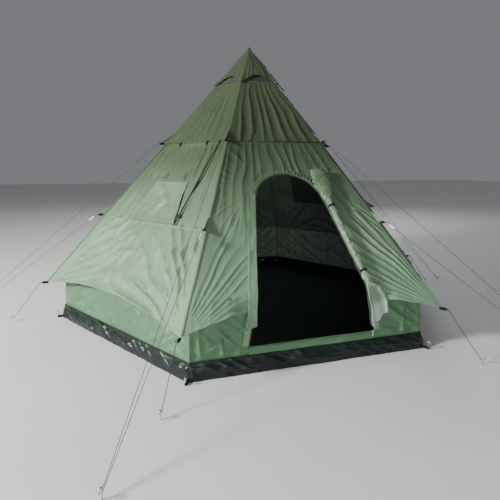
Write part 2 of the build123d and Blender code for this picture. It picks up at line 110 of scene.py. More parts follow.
class Face:
    """A plane of the tent: x runs right seen from outside, y up, and n points outward."""

    def __init__(self, turn, origin, pitch):
        self.origin = np.array(origin, float)
        self.x = around(turn + 90, 1)
        self.n = around(turn, sin(pitch), cos(pitch))
        self.y = np.cross(self.n, self.x)

    def at(self, s, y, lift=0.0):
        s, y, lift = np.broadcast_arrays(s, y, lift)
        return (
            self.origin
            + s[..., None] * self.x
            + y[..., None] * self.y
            + lift[..., None] * self.n
        )


def roof_face(turn):
    """A roof face: y is 0 at the apex and falls down the slope."""
    return Face(turn, (0, 0, APEX), PITCH)


def wall_face(turn):
    """An upright wall: y is the height."""
    return Face(turn, around(turn, ridge_radius(WALL_TOP) * HALF_FACE), pi / 2)


def leaning(turn, pitch, s, to_ridge, reach):
    """The way out of a face: its normal, turned to the ridge's own within reach of a ridge."""
    toward = (smooth(1 - to_ridge / reach) / 2)[..., None]
    normal, left, right = (around(turn + side, sin(pitch), cos(pitch)) for side in (0, -60, 60))
    way = normal * (1 - toward) + np.where((s > 0)[..., None], right, left) * toward
    return way / (way @ normal)[..., None]


def smooth(x):
    """0 below 0, 1 above 1, and a smooth step between them."""
    x = np.clip(x, 0, 1)
    return x * x * (3 - 2 * x)


def bump(x, width):
    """1 at 0, falling off smoothly to both sides."""
    return np.exp(-((x / width) ** 2))


def noise(x, y, seed):
    """Smooth noise from about -1 to 1, with cells of one unit."""
    table = np.random.default_rng(seed).uniform(-1, 1, (64, 64))
    x, y = np.broadcast_arrays(x, y)
    i, j = np.floor(x).astype(int), np.floor(y).astype(int)
    tx, ty = smooth(x - i), smooth(y - j)
    a, b = table[i % 64, j % 64], table[(i + 1) % 64, j % 64]
    c, d = table[i % 64, (j + 1) % 64], table[(i + 1) % 64, (j + 1) % 64]
    return (a * (1 - tx) + b * tx) * (1 - ty) + (c * (1 - tx) + d * tx) * ty


def rough(x, y, size, seed):
    """Three sizes of noise, from -1 to 1, the largest of that size."""
    total = 0.0
    for k in range(3):
        total = total + noise(x / size * 2**k, y / size * 2**k, seed + k) / 2**k
    return total / 1.6


def pleats(u, seed):
    """Rounded ridges of uneven height and width, one in each unit of u, from 0 to 1."""
    rng = np.random.default_rng(seed)
    height, place = rng.uniform(0.35, 1, 256), rng.uniform(0.38, 0.62, 256)
    width = rng.uniform(0.15, 0.24, 256)
    k = np.floor(u).astype(int)
    off = np.abs(u - k - place[k % 256]) / width[k % 256]
    return height[k % 256] * np.exp(-(off**1.5))


def fan(s, y, centre, turns, count, reach, height, seed, start=0.0, wander=0.35):
    """Folds that spread from a point between two directions, in degrees from +x."""
    ds, dy = s - centre[0], y - centre[1]
    away = np.hypot(ds, dy)
    middle = radians(sum(turns) / 2)
    half = radians(abs(turns[1] - turns[0]) / 2)
    turn = np.angle(np.exp(1j * (np.arctan2(dy, ds) - middle)))
    across = turn / half
    u = (across + 1) / 2 * count + wander * noise(away * 5, across * 3, seed + 9)
    grow = smooth((away - start) / (0.35 * reach)) * smooth((reach - away) / (0.45 * reach))
    edge = smooth((1 - np.abs(across)) / 0.18)
    return height * grow * edge * (pleats(u, seed) - 0.3)


def fold(s, y, start, end, width, height, bow):
    """One long fold with a softer hollow along one side, bowed sideways at its middle."""
    along = np.array([end[0] - start[0], end[1] - start[1]])
    length = hypot(*along)
    along /= length
    t = ((s - start[0]) * along[0] + (y - start[1]) * along[1]) / length
    off = (y - start[1]) * along[0] - (s - start[0]) * along[1]
    off = off - bow * np.sin(pi * np.clip(t, 0, 1))
    fade = smooth(t / 0.2) * smooth((1 - t) / 0.3)
    return height * fade * (bump(off, width) - 0.6 * bump(off - 1.7 * width, 1.1 * width))


def grid_quads(points, keep=None, closed=False):
    """The faces of rows and columns of points, and each point's way along and down them."""
    rows, columns = points.shape[:2]
    index = np.arange(rows * columns).reshape(rows, columns)
    if closed:
        index = np.hstack([index, index[:, :1]])
    quads = np.stack(
        [index[:-1, :-1], index[1:, :-1], index[1:, 1:], index[:-1, 1:]], axis=-1
    )
    quads = quads.reshape(-1, 4) if keep is None else quads[keep]
    steps = [np.linalg.norm(np.diff(points, axis=axis), axis=2) for axis in (0, 1)]
    down = np.vstack([np.zeros((1, columns)), np.cumsum(steps[0], axis=0)])
    across = np.hstack([np.zeros((rows, 1)), np.cumsum(steps[1], axis=1)])
    return quads, np.stack([across, down], axis=-1).reshape(-1, 2)


def grid_mesh(name, grids, flip):
    """A smooth mesh of quads over one or more grids, with a UV map in metres.

    A grid is an array of points, or a tuple of it, the faces to keep and whether it closes.
    """
    spots, quads, places, first = [], [], [], 0
    for grid in grids if isinstance(grids, list) else [grids]:
        grid = grid if isinstance(grid, tuple) else (grid,)
        faces, way = grid_quads(*grid)
        spots.append(grid[0].reshape(-1, 3))
        quads.append(faces + first)
        places.append(way)
        first += len(spots[-1])
    spots, quads, places = np.vstack(spots), np.vstack(quads), np.vstack(places)
    if flip:
        quads = quads[:, ::-1]
    used, quads = np.unique(quads, return_inverse=True)
    quads = quads.reshape(-1, 4)
    mesh = bpy.data.meshes.new(name)
    mesh.from_pydata(spots[used].tolist(), [], quads.tolist())
    layer = mesh.uv_layers.new(name="metres")
    corner = np.zeros(len(mesh.loops), np.int32)
    mesh.loops.foreach_get("vertex_index", corner)
    layer.data.foreach_set("uv", places[used][corner].astype(np.float32).ravel())
    mesh.polygons.foreach_set("use_smooth", np.ones(len(mesh.polygons), bool))
    return mesh


def piece(
    name, grids, looks, slot, thickness=0.0, offset=-1, flip=False, welded=False,
    body="tent", replaced=None, **sheet,
):
    mesh = grid_mesh(name, grids, flip)
    obj = bpy.data.objects.new(name, mesh)
    bpy.context.scene.collection.objects.link(obj)
    for look in looks.split():
        mesh.materials.append(finish[look])
    if thickness:
        shell = obj.modifiers.new("thickness", "SOLIDIFY")
        shell.thickness = thickness
        shell.offset = offset
        shell.material_offset = len(mesh.materials) - 1
    if welded:
        obj.modifiers.new("weld", "WELD").merge_threshold = WELD
    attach(obj, body)
    if replaced:
        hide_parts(replaced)
    return obj


def tube_grid(line, radius, sides=12, ripple=None):
    """A closed tube round a line of points, with its ends drawn in to a point.

    ripple(angle, along) scales the radius.
    """
    line = np.array(line, float)
    tangent = np.gradient(line, axis=0)
    tangent /= np.linalg.norm(tangent, axis=1)[:, None]
    side = np.cross(tangent, [0, 0, 1.0])
    side[np.linalg.norm(side, axis=1) < 1e-6] = [1, 0, 0]
    side /= np.linalg.norm(side, axis=1)[:, None]
    up = np.cross(side, tangent)
    angle = np.linspace(0, 2 * pi, sides, endpoint=False)[None]
    r = np.broadcast_to(radius, len(line))[:, None] * np.ones((1, sides))
    if ripple is not None:
        r = r * ripple(angle, np.linspace(0, 1, len(line))[:, None])
    beside, over = (r * np.cos(angle))[..., None], (r * np.sin(angle))[..., None]
    rings = line[:, None] + beside * side[:, None] + over * up[:, None]
    ends = [np.broadcast_to(ring.mean(0), (1, sides, 3)) for ring in (rings[0], rings[-1])]
    return np.vstack([ends[0], rings, ends[1]]), None, True


# Materials -------------------------------------------------------------------------------

GRAIN = 60.0  # changes of tone in a metre of moulded or cast stuff


class Nodes:
    """A material's node tree, with short calls for the nodes that the finishes use."""

    def __init__(self, name, **shader):
        self.material = bpy.data.materials.new(name)
        self.material.use_nodes = True
        self.tree = self.material.node_tree
        self.shader = self.tree.nodes["Principled BSDF"]
        for socket, value in shader.items():
            self.shader.inputs[socket.replace("_", " ")].default_value = value

    def add(self, kind, values=(), **settings):
        node = self.tree.nodes.new("ShaderNode" + kind)
        for key, value in settings.items():
            setattr(node, key, value)
        for socket, value in dict(values).items():
            if isinstance(value, bpy.types.NodeSocket):
                self.tree.links.new(value, node.inputs[socket])
            else:
                node.inputs[socket].default_value = value
        return node

    def object_place(self):
        return self.add("TexCoord").outputs["Object"]

    def cloth_place(self):
        return self.add("UVMap", uv_map="metres").outputs["UV"]

    def noise(self, place, scale, detail=4.0):
        values = {"Vector": place, "Scale": scale, "Detail": detail, "Roughness": 0.55}
        return self.add("TexNoise", values).outputs["Fac"]

    def scaled(self, value, by, plus):
        """value * by + plus"""
        values = {0: value, 1: by, 2: plus}
        return self.add("Math", values, operation="MULTIPLY_ADD").outputs[0]

    def step(self, value, low, high, top=1.0):
        """A smooth step from 0 to top, while value goes from low to high."""
        span = {"Value": value, "From Min": low, "From Max": high, "To Max": top}
        return self.add("MapRange", span, interpolation_type="SMOOTHSTEP").outputs["Result"]

    def ramp(self, factor, stops):
        node = self.add("ValToRGB", {"Fac": factor})
        elements = node.color_ramp.elements
        while len(elements) < len(stops):
            elements.new(1.0)
        for element, (position, colour) in zip(elements, stops):
            element.position = position
            element.color = (*colour, 1.0)
        return node.outputs["Color"]

    def mix(self, factor, a, b):
        tones = [(*tone, 1.0) if isinstance(tone, tuple) else tone for tone in (a, b)]
        values = {0: factor, 6: tones[0], 7: tones[1]}
        return self.add("Mix", values, data_type="RGBA").outputs[2]

    def bump(self, height, strength, distance, over=None):
        values = {"Height": height, "Strength": strength, "Distance": distance}
        if over is not None:
            values["Normal"] = over
        return self.add("Bump", values).outputs["Normal"]

    def use(self, socket, output):
        self.tree.links.new(output, self.shader.inputs[socket])

    def wave(self, place, pitch, distortion, direction):
        scale = 1 / pitch / 3.2
        values = {"Vector": place, "Scale": scale, "Distortion": distortion, "Detail": 1.0}
        node = self.add("TexWave", values, wave_type="BANDS", bands_direction=direction)
        return node.outputs["Fac"]

    def weave(self, place, pitch):
        """Warp and weft as two crossed waves, from 0 to 1."""
        bands = [self.wave(place, pitch, 0.6, direction) for direction in ("X", "Y")]
        return self.add("Math", dict(enumerate(bands)), operation="MAXIMUM").outputs[0]


def cloth(name, colour, deep, roughness=0.5, sheen=0.05, high=None, low=None):
    """Coated woven cloth: soft clouds of two tones, weave, fine crinkles and uneven gloss.

    high is a pair of darker tones, painted shade, that the cloth turns to towards the top of the
    roof, and low a tone for what hangs below the eaves.
    """
    n = Nodes(name, Roughness=roughness, Sheen_Weight=sheen, Sheen_Roughness=0.4)
    n.shader.inputs["Specular IOR Level"].default_value = 0.36 if roughness > 0.3 else 0.5
    n.shader.inputs["Sheen Tint"].default_value = (0.85, 0.95, 0.9, 1.0)
    spot, flat = n.object_place(), n.cloth_place()
    clouds = n.noise(spot, 2.6, 5.0)
    specks = n.noise(flat, 240.0, 2.0)
    tone = n.ramp(clouds, [(0.30, deep), (0.68, colour)])
    tone = n.mix(0.12, tone, n.ramp(specks, [(0.35, deep), (0.65, colour)]))
    # painted shade: towards the top of the roof the tone turns to the darker high pair
    if high:
        height = n.add("SeparateXYZ", {"Vector": spot}).outputs["Z"]
        upper = n.ramp(clouds, [(0.30, high[1]), (0.68, high[0])])
        tone = n.mix(n.step(height, 0.35, 1.40), tone, upper)
    if low:
        wander = n.scaled(n.noise(spot, 14.0, 2.0), 0.12, height)
        tone = n.mix(n.step(wander, 0.42, 0.36, 0.85), tone, low)
    n.use("Base Color", tone)
    n.use("Roughness", n.scaled(n.noise(spot, 9.0, 3.0), 0.16, roughness - 0.08))
    fine = n.bump(n.weave(flat, 0.0016), 0.25, 0.0004)
    crinkles = n.add("TexNoise", {"Vector": spot, "Scale": 22.0, "Detail": 4.0})
    crinkles.noise_type = "RIDGED_MULTIFRACTAL"
    n.use("Normal", n.bump(crinkles.outputs["Fac"], 0.35, 0.0022, fine))
    return n.material


def plain(name, colour, roughness, metallic=0.0):
    """Moulded, cast or coated stuff: a slight change of tone, uneven gloss and fine grain."""
    n = Nodes(name, Metallic=metallic)
    spot = n.object_place()
    dark = [c * 0.75 for c in colour]
    n.use("Base Color", n.ramp(n.noise(spot, GRAIN), [(0.3, dark), (0.7, colour)]))
    n.use("Roughness", n.scaled(n.noise(spot, GRAIN * 2), 0.2, roughness - 0.1))
    n.use("Normal", n.bump(n.noise(spot, GRAIN * 4), 0.4, 0.0006))
    return n.material


def braid(name, colour, pitch=0.004):
    """Braided cord: slanting strands round the cord, as bump and as tone."""
    n = Nodes(name, Roughness=0.75)
    wave = n.wave(n.object_place(), pitch, 1.5, "DIAGONAL")
    dark = [c * 0.5 for c in colour]
    n.use("Base Color", n.ramp(wave, [(0.2, dark), (0.8, colour)]))
    n.use("Normal", n.bump(wave, 0.6, 0.0006))
    return n.material


def webbing(
    name, colour, pitch=0.002, dark=0.4, edge=0.1, relief=(0.7, 0.0007), gloss=0.15
):
    """Woven strap or net: close ribs or threads, with darker gaps between them."""
    n = Nodes(name, Roughness=0.8, Specular_IOR_Level=gloss)
    ribs = n.weave(n.cloth_place(), pitch)
    gap = [c * dark for c in colour]
    n.use("Base Color", n.ramp(ribs, [(edge, gap), (1 - edge, colour)]))
    n.use("Normal", n.bump(ribs, *relief))
    return n.material


GREEN = (0.190, 0.318, 0.200)
GREEN_DEEP = (0.152, 0.266, 0.160)
# painted shade: the darker tones the roof cloth turns to towards its top
GREEN_TOP_PAINTED_SHADE = ((0.052, 0.080, 0.041), (0.039, 0.062, 0.030))
WALL_GREEN = (0.094, 0.208, 0.110)
WALL_DEEP = (0.074, 0.168, 0.086)
# the cape's own slightly darker cloth, darkened much further by painted shade like the roof's top
CAPE_TONE_AND_SHADE = (0.050, 0.071, 0.036)
CAPE_DEEP_TONE_AND_SHADE = (0.038, 0.058, 0.028)
DOOR_GREEN = (0.215, 0.335, 0.230)
DOOR_DEEP = (0.170, 0.275, 0.180)
# painted shade: the darker tones the rolled door turns to towards its top
DOOR_TOP_PAINTED_SHADE = ((0.080, 0.130, 0.066), (0.062, 0.104, 0.050))
DOOR_LOW = (0.430, 0.530, 0.490)

finish = {
    "canopy": cloth("canopy_cloth", GREEN, GREEN_DEEP, 0.50, high=GREEN_TOP_PAINTED_SHADE),
    "wall": cloth("wall_cloth_tone", WALL_GREEN, WALL_DEEP, 0.48),
    "cape": cloth("cape_cloth", CAPE_TONE_AND_SHADE, CAPE_DEEP_TONE_AND_SHADE, 0.46),
    "door": cloth("door_cloth", DOOR_GREEN, DOOR_DEEP, 0.36, high=DOOR_TOP_PAINTED_SHADE, low=DOOR_LOW),
    "inside": cloth("inner_coating", (0.130, 0.160, 0.135), (0.100, 0.125, 0.105), 0.6, 0.0),
    "tub": cloth("tub_sheet", (0.009, 0.016, 0.017), (0.004, 0.008, 0.008), 0.33, 0.0),
    "net": webbing("net", (0.040, 0.046, 0.040), 0.002, 0.5, 0.2, (0.5, 0.0005), 0.5),
    "tape": cloth("seam_tape", GREEN, GREEN_DEEP, 0.5, high=GREEN_TOP_PAINTED_SHADE),
    "webbing": webbing("black_webbing", (0.012, 0.012, 0.013)),
    "zip": webbing("zip_coil", (0.090, 0.110, 0.085), 0.003),
    "slider": plain("slider_enamel", (0.80, 0.80, 0.78), 0.35),
    "dark_slider": plain("dark_slider_enamel", (0.050, 0.065, 0.050), 0.35),
    "steel": plain("pole_coat", (0.30, 0.31, 0.30), 0.4, metallic=0.6),
    "rubber": plain("foot_rubber", (0.025, 0.025, 0.025), 0.75),
    "plastic": plain("black_plastic", (0.020, 0.020, 0.022), 0.45),
    "runner": plain("runner_plastic", (0.78, 0.78, 0.74), 0.3),
    "cord": braid("guy_cord", (0.060, 0.062, 0.058)),
    "elastic": braid("elastic_cord", (0.030, 0.030, 0.030), 0.003),
    "flap": cloth("window_flap_cloth", (0.150, 0.228, 0.138), (0.110, 0.176, 0.102), 0.46),
    "patch": plain("patch_cloth", (0.020, 0.024, 0.026), 0.5),
    "button": plain("button_cloth", (0.080, 0.100, 0.055), 0.6),
    "peg": plain("peg_zinc", (0.55, 0.55, 0.54), 0.38, metallic=1.0),
}


# Camera, light and floor -------------------------------------------------------------------

CAMERA_PLACE = (-1.157, -3.700, 1.181)
CAMERA_TURN = radians(-17.36)
LENS, SENSOR = 31.06, 36.0  # millimetres
STUDIO_HALF = 30.0
STUDIO_DROP = 0.0005  # keeps the studio floor clear of the groundsheet

camera_data = bpy.data.cameras.new("camera")
camera_data.lens = LENS
camera_data.sensor_width = SENSOR
camera_data.shift_x = 0.0013
camera_data.shift_y = -0.165
camera = bpy.data.objects.new("camera", camera_data)
camera.location = CAMERA_PLACE
camera.rotation_euler = (pi / 2, 0, CAMERA_TURN)
bpy.context.scene.collection.objects.link(camera)
bpy.context.scene.camera = camera


def area_light(name, place, aim, size, power, colour=(1.0, 1.0, 1.0)):
    """A round soft light at a place, turned to what it aims at."""
    data = bpy.data.lights.new(name, "AREA")
    data.shape = "DISK"
    data.size = size
    data.energy = power
    data.color = colour
    light = bpy.data.objects.new(name, data)
    light.location = place
    light.rotation_euler = (Vector(aim) - Vector(place)).to_track_quat("-Z", "Y").to_euler()
    bpy.context.scene.collection.objects.link(light)


area_light("key", (-6.6, -2.1, 3.2), (0, 0, 0.8), 1.0, 900, (1.0, 0.985, 0.95))
area_light("low_fill", (-1.8, -6.2, 1.4), (-0.3, -1.2, 0.3), 2.2, 100, (1.0, 1.0, 0.96))
area_light("glow", (0, 0.0, 1.60), (0, 0.3, 0), 0.5, 4.5, (0.85, 1.0, 0.90))
area_light("rim", (3.0, 6.5, 5.0), (0, 0, 1.0), 4.0, 200)

world = bpy.data.worlds.new("studio")
world.use_nodes = True
world.node_tree.nodes["Background"].inputs["Color"].default_value = (0.93, 0.95, 1.0, 1.0)
world.node_tree.nodes["Background"].inputs["Strength"].default_value = 0.21
bpy.context.scene.world = world


def make_floor():
    """A wide pale floor with a soft, faint mottling."""
    n = Nodes("studio_floor", Roughness=0.7)
    cloud = n.noise(n.object_place(), 1.5)
    n.use("Base Color", n.ramp(cloud, [(0.3, (0.70, 0.70, 0.69)), (0.7, (0.74, 0.74, 0.73))]))
    mesh = bpy.data.meshes.new("floor")
    half = STUDIO_HALF
    corners = [(-half, -half, 0), (half, -half, 0), (half, half, 0), (-half, half, 0)]
    mesh.from_pydata(corners, [], [(0, 1, 2, 3)])
    mesh.materials.append(n.material)
    floor = bpy.data.objects.new("floor", mesh)
    floor.location.z = -STUDIO_DROP
    bpy.context.scene.collection.objects.link(floor)


make_floor()


# Guy lines and eave elastics ---------------------------------------------------------------

LINE_WIDTH = 0.003
ELASTIC_WIDTH = 0.004
PEG_RADIUS = {
    "front_left": 2.400,
    "front_right": 2.500,
    "right": 2.050,
    "back_right": 2.050,
    "back_left": 2.050,
    "left": 2.300,
}
PEG_WIRE = 0.003
ELASTIC_PEG = 1.900
UPPER_TAB, LOWER_TAB, EAVE_LOOP = 0.789, 1.276, 1.690  # radius that each reaches
PAST_RING = 0.019
LOOP_HEIGHT = 0.283
SAG = 0.0015


def taut_cord(name, turn, start, end, width, slot, material, replaced=None):
    """A cord pulled straight, with a slight sag at its middle. Ends are (radius, height)."""
    ends = [around(turn, *start), around(turn, *end)]
    middle = (ends[0] + ends[1]) / 2 - [0, 0, 2 * SAG]
    route = [ends[0], middle, ends[1]]
    data = bpy.data.curves.new(name, "CURVE")
    data.dimensions = "3D"
    data.resolution_u = 16
    data.bevel_depth = width / 2
    data.bevel_resolution = 3
    data.use_fill_caps = True
    spline = data.splines.new("NURBS")
    spline.points.add(len(route) - 1)
    for point, spot in zip(spline.points, route):
        point.co = (*spot, 1.0)
    spline.order_u = 3
    spline.use_endpoint_u = True
    data.materials.append(material)
    cord = bpy.data.objects.new(name, data)
    bpy.context.scene.collection.objects.link(cord)
    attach(cord, "tent")
    if replaced:
        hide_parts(replaced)


for corner, turn in CORNERS.items():
    peg = PEG_RADIUS[corner] - PEG_WIRE - LINE_WIDTH / 2
    levels = {
        "upper": ((UPPER_TAB + PAST_RING, HEM + 0.005), (peg, 0.036)),
        "lower": ((LOWER_TAB + PAST_RING, SEAM + 0.005), (peg, 0.024)),
    }
    for level, ends in levels.items():
        name = f"guy_line_{level}_{corner}"
        taut_cord(f"{name}_cord", turn, *ends, LINE_WIDTH, "guy_cord", finish["cord"], name)
    start = (EAVE_LOOP + PAST_RING, LOOP_HEIGHT)
    end = (ELASTIC_PEG - PEG_WIRE - ELASTIC_WIDTH / 2, 0.024)
    name, look = f"eave_elastic_{corner}", finish["elastic"]
    replaced = "eave_elastics" if corner == "front_left" else None
    taut_cord(name, turn, start, end, ELASTIC_WIDTH, "elastic_cord", look, replaced)


# Roof cloth --------------------------------------------------------------------------------

TIP_HALF = ridge_radius(EAVE_TIP) / 2
TIP = on_roof(EAVE_TIP)
FOLD = on_roof(WALL_TOP)
ARCH_CENTRE = on_roof(DOOR_TOP) - DOOR_ARCH
ARCH_FOOT = ARCH_CENTRE + DOOR_ARCH * sin(DOOR_LEAN)
ARCH_WAY = DOOR_ARCH * (pi / 2 - DOOR_LEAN)  # half the way round the arch
DOOR_WAY = ARCH_WAY + (ARCH_FOOT - FOLD) / cos(DOOR_LEAN)  # and on down one leg to the fold


def spaced(*stops):
    """Places from the first stop to the last. Each stop is a place and the step after it."""
    places = [[stops[0][0]]]
    for (start, step), (end, _) in zip(stops, stops[1:]):
        count = max(1, round(abs(end - start) / step))
        places.append(np.linspace(start, end, count + 1)[1:])
    return np.concatenate(places)


def ridge_half(y):
    """Half the width of a roof face."""
    return -y * sin(PITCH) / RISE / 2


def height_of(y):
    """Height of a place on a roof face."""
    return APEX + y * sin(PITCH)


def off_ridge(s, y, width):
    """0 on a ridge, and 1 from that width away from it."""
    return smooth((ridge_half(y) - np.abs(s)) / width)


def roof_points(turn, s, y, lift):
    """Points of a roof face. Near a ridge the lift turns to the ridge's own direction."""
    s, y, lift = np.broadcast_arrays(s, y, lift)
    out = leaning(turn, PITCH, s, ridge_half(y) - np.abs(s), 0.03)
    return roof_face(turn).at(s, y) + lift[..., None] * out


def door_half(below_fold):
    """Half the doorway's width, at a distance below the fold between roof and wall."""
    at_foot = DOOR_ARCH * cos(DOOR_LEAN)
    return at_foot + (ARCH_FOOT - FOLD + below_fold) * tan(DOOR_LEAN)


def creases(x, y, turn, length, width, seed):
    """A net of crisp creases, long in the direction turn, from 0 to 1."""
    a, b = cos(radians(turn)), sin(radians(turn))
    along, across = (x * a + y * b) / length, (y * a - x * b) / width
    return (1 - np.abs(noise(along, across, seed))) ** 3.0


def beside_door(s, y):
    """Distance outside the door's outline on the roof, and the way round it."""
    side = np.sign(s + 1e-9)
    leg_s, leg_y = np.abs(s) - DOOR_ARCH * cos(DOOR_LEAN), y - ARCH_FOOT
    below = leg_s * sin(DOOR_LEAN) - leg_y * cos(DOOR_LEAN)  # way down the leg
    off_leg = leg_s * cos(DOOR_LEAN) + leg_y * sin(DOOR_LEAN)
    dy = y - ARCH_CENTRE
    off_arch = np.hypot(s, dy) - DOOR_ARCH
    turn = np.arctan2(np.abs(s), dy)
    way = np.where(below > 0, ARCH_WAY + below, DOOR_ARCH * turn)
    return np.where(below > 0, off_leg, off_arch), side * way


# Folds of the front face, each fan as its centre, turns, count, reach, height, seed, start and
# wander: pulls from the tips of the eave, from the ridges and from the door's shoulders.
FRONT_FOLDS = [
    ((TIP_HALF + 0.04, TIP - 0.03), (114, 172), 11, 1.30, 0.0190, 13, 0.04, 0.3),
    ((0.30, on_roof(1.05)), (-62, -28), 7, 0.70, 0.0120, 14, 0.05, 0.3),
    ((-TIP_HALF - 0.05, TIP - 0.06), (16, 62), 10, 0.95, 0.0085, 15, 0.05, 0.4),
    ((-0.30, on_roof(1.02)), (206, 250), 5, 0.60, 0.0070, 16, 0.05, 0.5),
    ((0, 0.3), (254, 286), 13, 2.50, 0.0120, 17, 0.95, 0.35),
    ((-0.20, on_roof(1.08)), (100, 205), 8, 0.50, 0.0070, 18, 0.12, 0.3),
    ((0.20, on_roof(1.10)), (0, 80), 5, 0.34, 0.0060, 19, 0.05, 0.3),
]


def drape_front(s, y):
    """Folds and creases of the front face, with close puckers along the door's edge."""
    off, way = beside_door(s, y)
    lift = 0.0050 * rough(s, y, 0.26, 11) + 0.0022 * (creases(s, y, 75, 0.30, 0.07, 12) - 0.4)
    pulls = sum(fan(s, y, *row) for row in FRONT_FOLDS)
    away = smooth(off / 0.03)
    puckers = 0.0045 * bump(off - 0.016, 0.022) * (pleats(way / 0.024, 20) - 0.4)
    held = 1 - smooth(1 - off / 0.12) * smooth(1 - (y - FOLD) / 0.07)
    return (lift + pulls * (0.3 + 0.7 * away) + puckers) * held


def drape_side(name, s, y):
    """Folds of a plain or window face, cut by the sewn seam across it."""
    seed = 100 + 20 * list(FACES).index(name)
    height = height_of(y)
    lift = 0.0075 * rough(s, y, 0.26, seed)
    lift = lift + 0.0026 * (creases(s, y, 80, 0.35, 0.08, seed + 3) - 0.4)
    above = smooth((height - SEAM) / 0.02)
    below = 1 - above
    upper = fan(s, y, (0, 0), (250, 290), 12, 2.30, 0.0190, seed + 4, 0.55, 0.3)
    upper += fan(s, y, (-0.50, on_roof(SEAM)), (35, 75), 5, 0.45, 0.0070, seed + 5, 0.03)
    lower = fan(s, y, (0.15, on_roof(1.60)), (240, 300), 13, 2.00, 0.0215, seed + 6, 0.80, 0.4)
    ridge = ridge_half(y) - np.abs(s)
    along_ridge = pleats(ridge / 0.050 + 2 * height, seed + 7) - 0.3
    lower += 0.0080 * bump(ridge - 0.10, 0.12) * along_ridge
    for side, turns in ((-1, (4, 62)), (1, (112, 176))):
        tip = (side * (TIP_HALF + 0.03), TIP - 0.02)
        lower += fan(s, y, tip, turns, 7, 1.15, 0.0260, seed + 8 + side, 0.05, 0.5)
    panel = 1.0
    if name in WINDOW_FACES:
        beyond = np.maximum(np.abs(s) - 0.24, np.abs(height - 0.94) - 0.14)
        panel = 0.25 + 0.75 * smooth(beyond / 0.06)
    puckers = 0.0040 * bump(height - SEAM, 0.030) * (pleats(s / 0.030, seed + 10) - 0.4)
    band = 0.0032 * smooth((0.0080 - np.abs(height - SEAM)) / 0.003) - 0.0015 * below
    return lift * panel + upper * above * panel + lower * below + puckers + band


def drape(name, s, y):
    """How far the cloth of a roof face stands off the CAD plane."""
    s, y = np.broadcast_arrays(s, y)
    height = height_of(y)
    u = np.clip(s / ridge_half(y), -1, 1)
    tight = smooth((height - WALL_TOP) / 0.2) * smooth((HEM + 0.15 - height) / 0.3)
    lift = drape_front(s, y) if name == "front" else drape_side(name, s, y)
    lift = lift - 0.009 * (1 - u * u) * tight
    seed = 300 + list(FACES).index(name)
    hanging = smooth((WALL_TOP - height) / 0.12)
    waves = 0.010 * rough(s, y * 0.3, 0.19, seed) + 0.004 * rough(s, y * 0.3, 0.06, seed + 9)
    seam = bump(height - WALL_TOP, 0.012)
    gather = 0.0018 * bump(height - WALL_TOP, 0.03) * (pleats(s / 0.02, seed) - 0.4)
    lift = lift * (1 - 0.5 * seam) + waves * hanging - 0.002 * seam + gather
    under_cape = smooth((HEM + 0.006 - height) / 0.036)
    fade = off_ridge(s, y, 0.035)
    above_wall = 0.0045 * bump(height - WALL_TOP, 0.02)
    return lift * fade * under_cape - 0.0012 + above_wall * fade


def eave_edge(s):
    """The curved lower edge of a side face: high at its middle, low at the ridges."""
    half, rise = TIP_HALF, on_roof(EAVE_MIDDLE) - TIP
    radius = (half * half + rise * rise) / (2 * rise)
    return TIP + rise - radius + np.sqrt(radius**2 - s**2)


def hem_lift(to_edge):
    """The doubled hem along a free edge, with its row of stitches drawn in."""
    doubled = 0.0012 * smooth((0.020 - to_edge) / 0.002)
    return doubled - 0.0008 * bump(to_edge - 0.017, 0.0025)


def window_half(fall):
    """Half width of a window, at a share of the way down it."""
    return WINDOW_HALF_HIGH + fall * (WINDOW_HALF_LOW - WINDOW_HALF_HIGH)


def roof_sheet(name, grid, area):
    """A roof face's cloth, as a piece."""
    piece(
        f"roof_cloth_{name}", [grid], "canopy inside", "canopy_cloth", CLOTH,
        replaced=f"roof_panel_{name}", flat=(1.42, 1.55), area=area, held="stretched",
        rests_on=["pole_tip", "ridge_bindings"],
    )


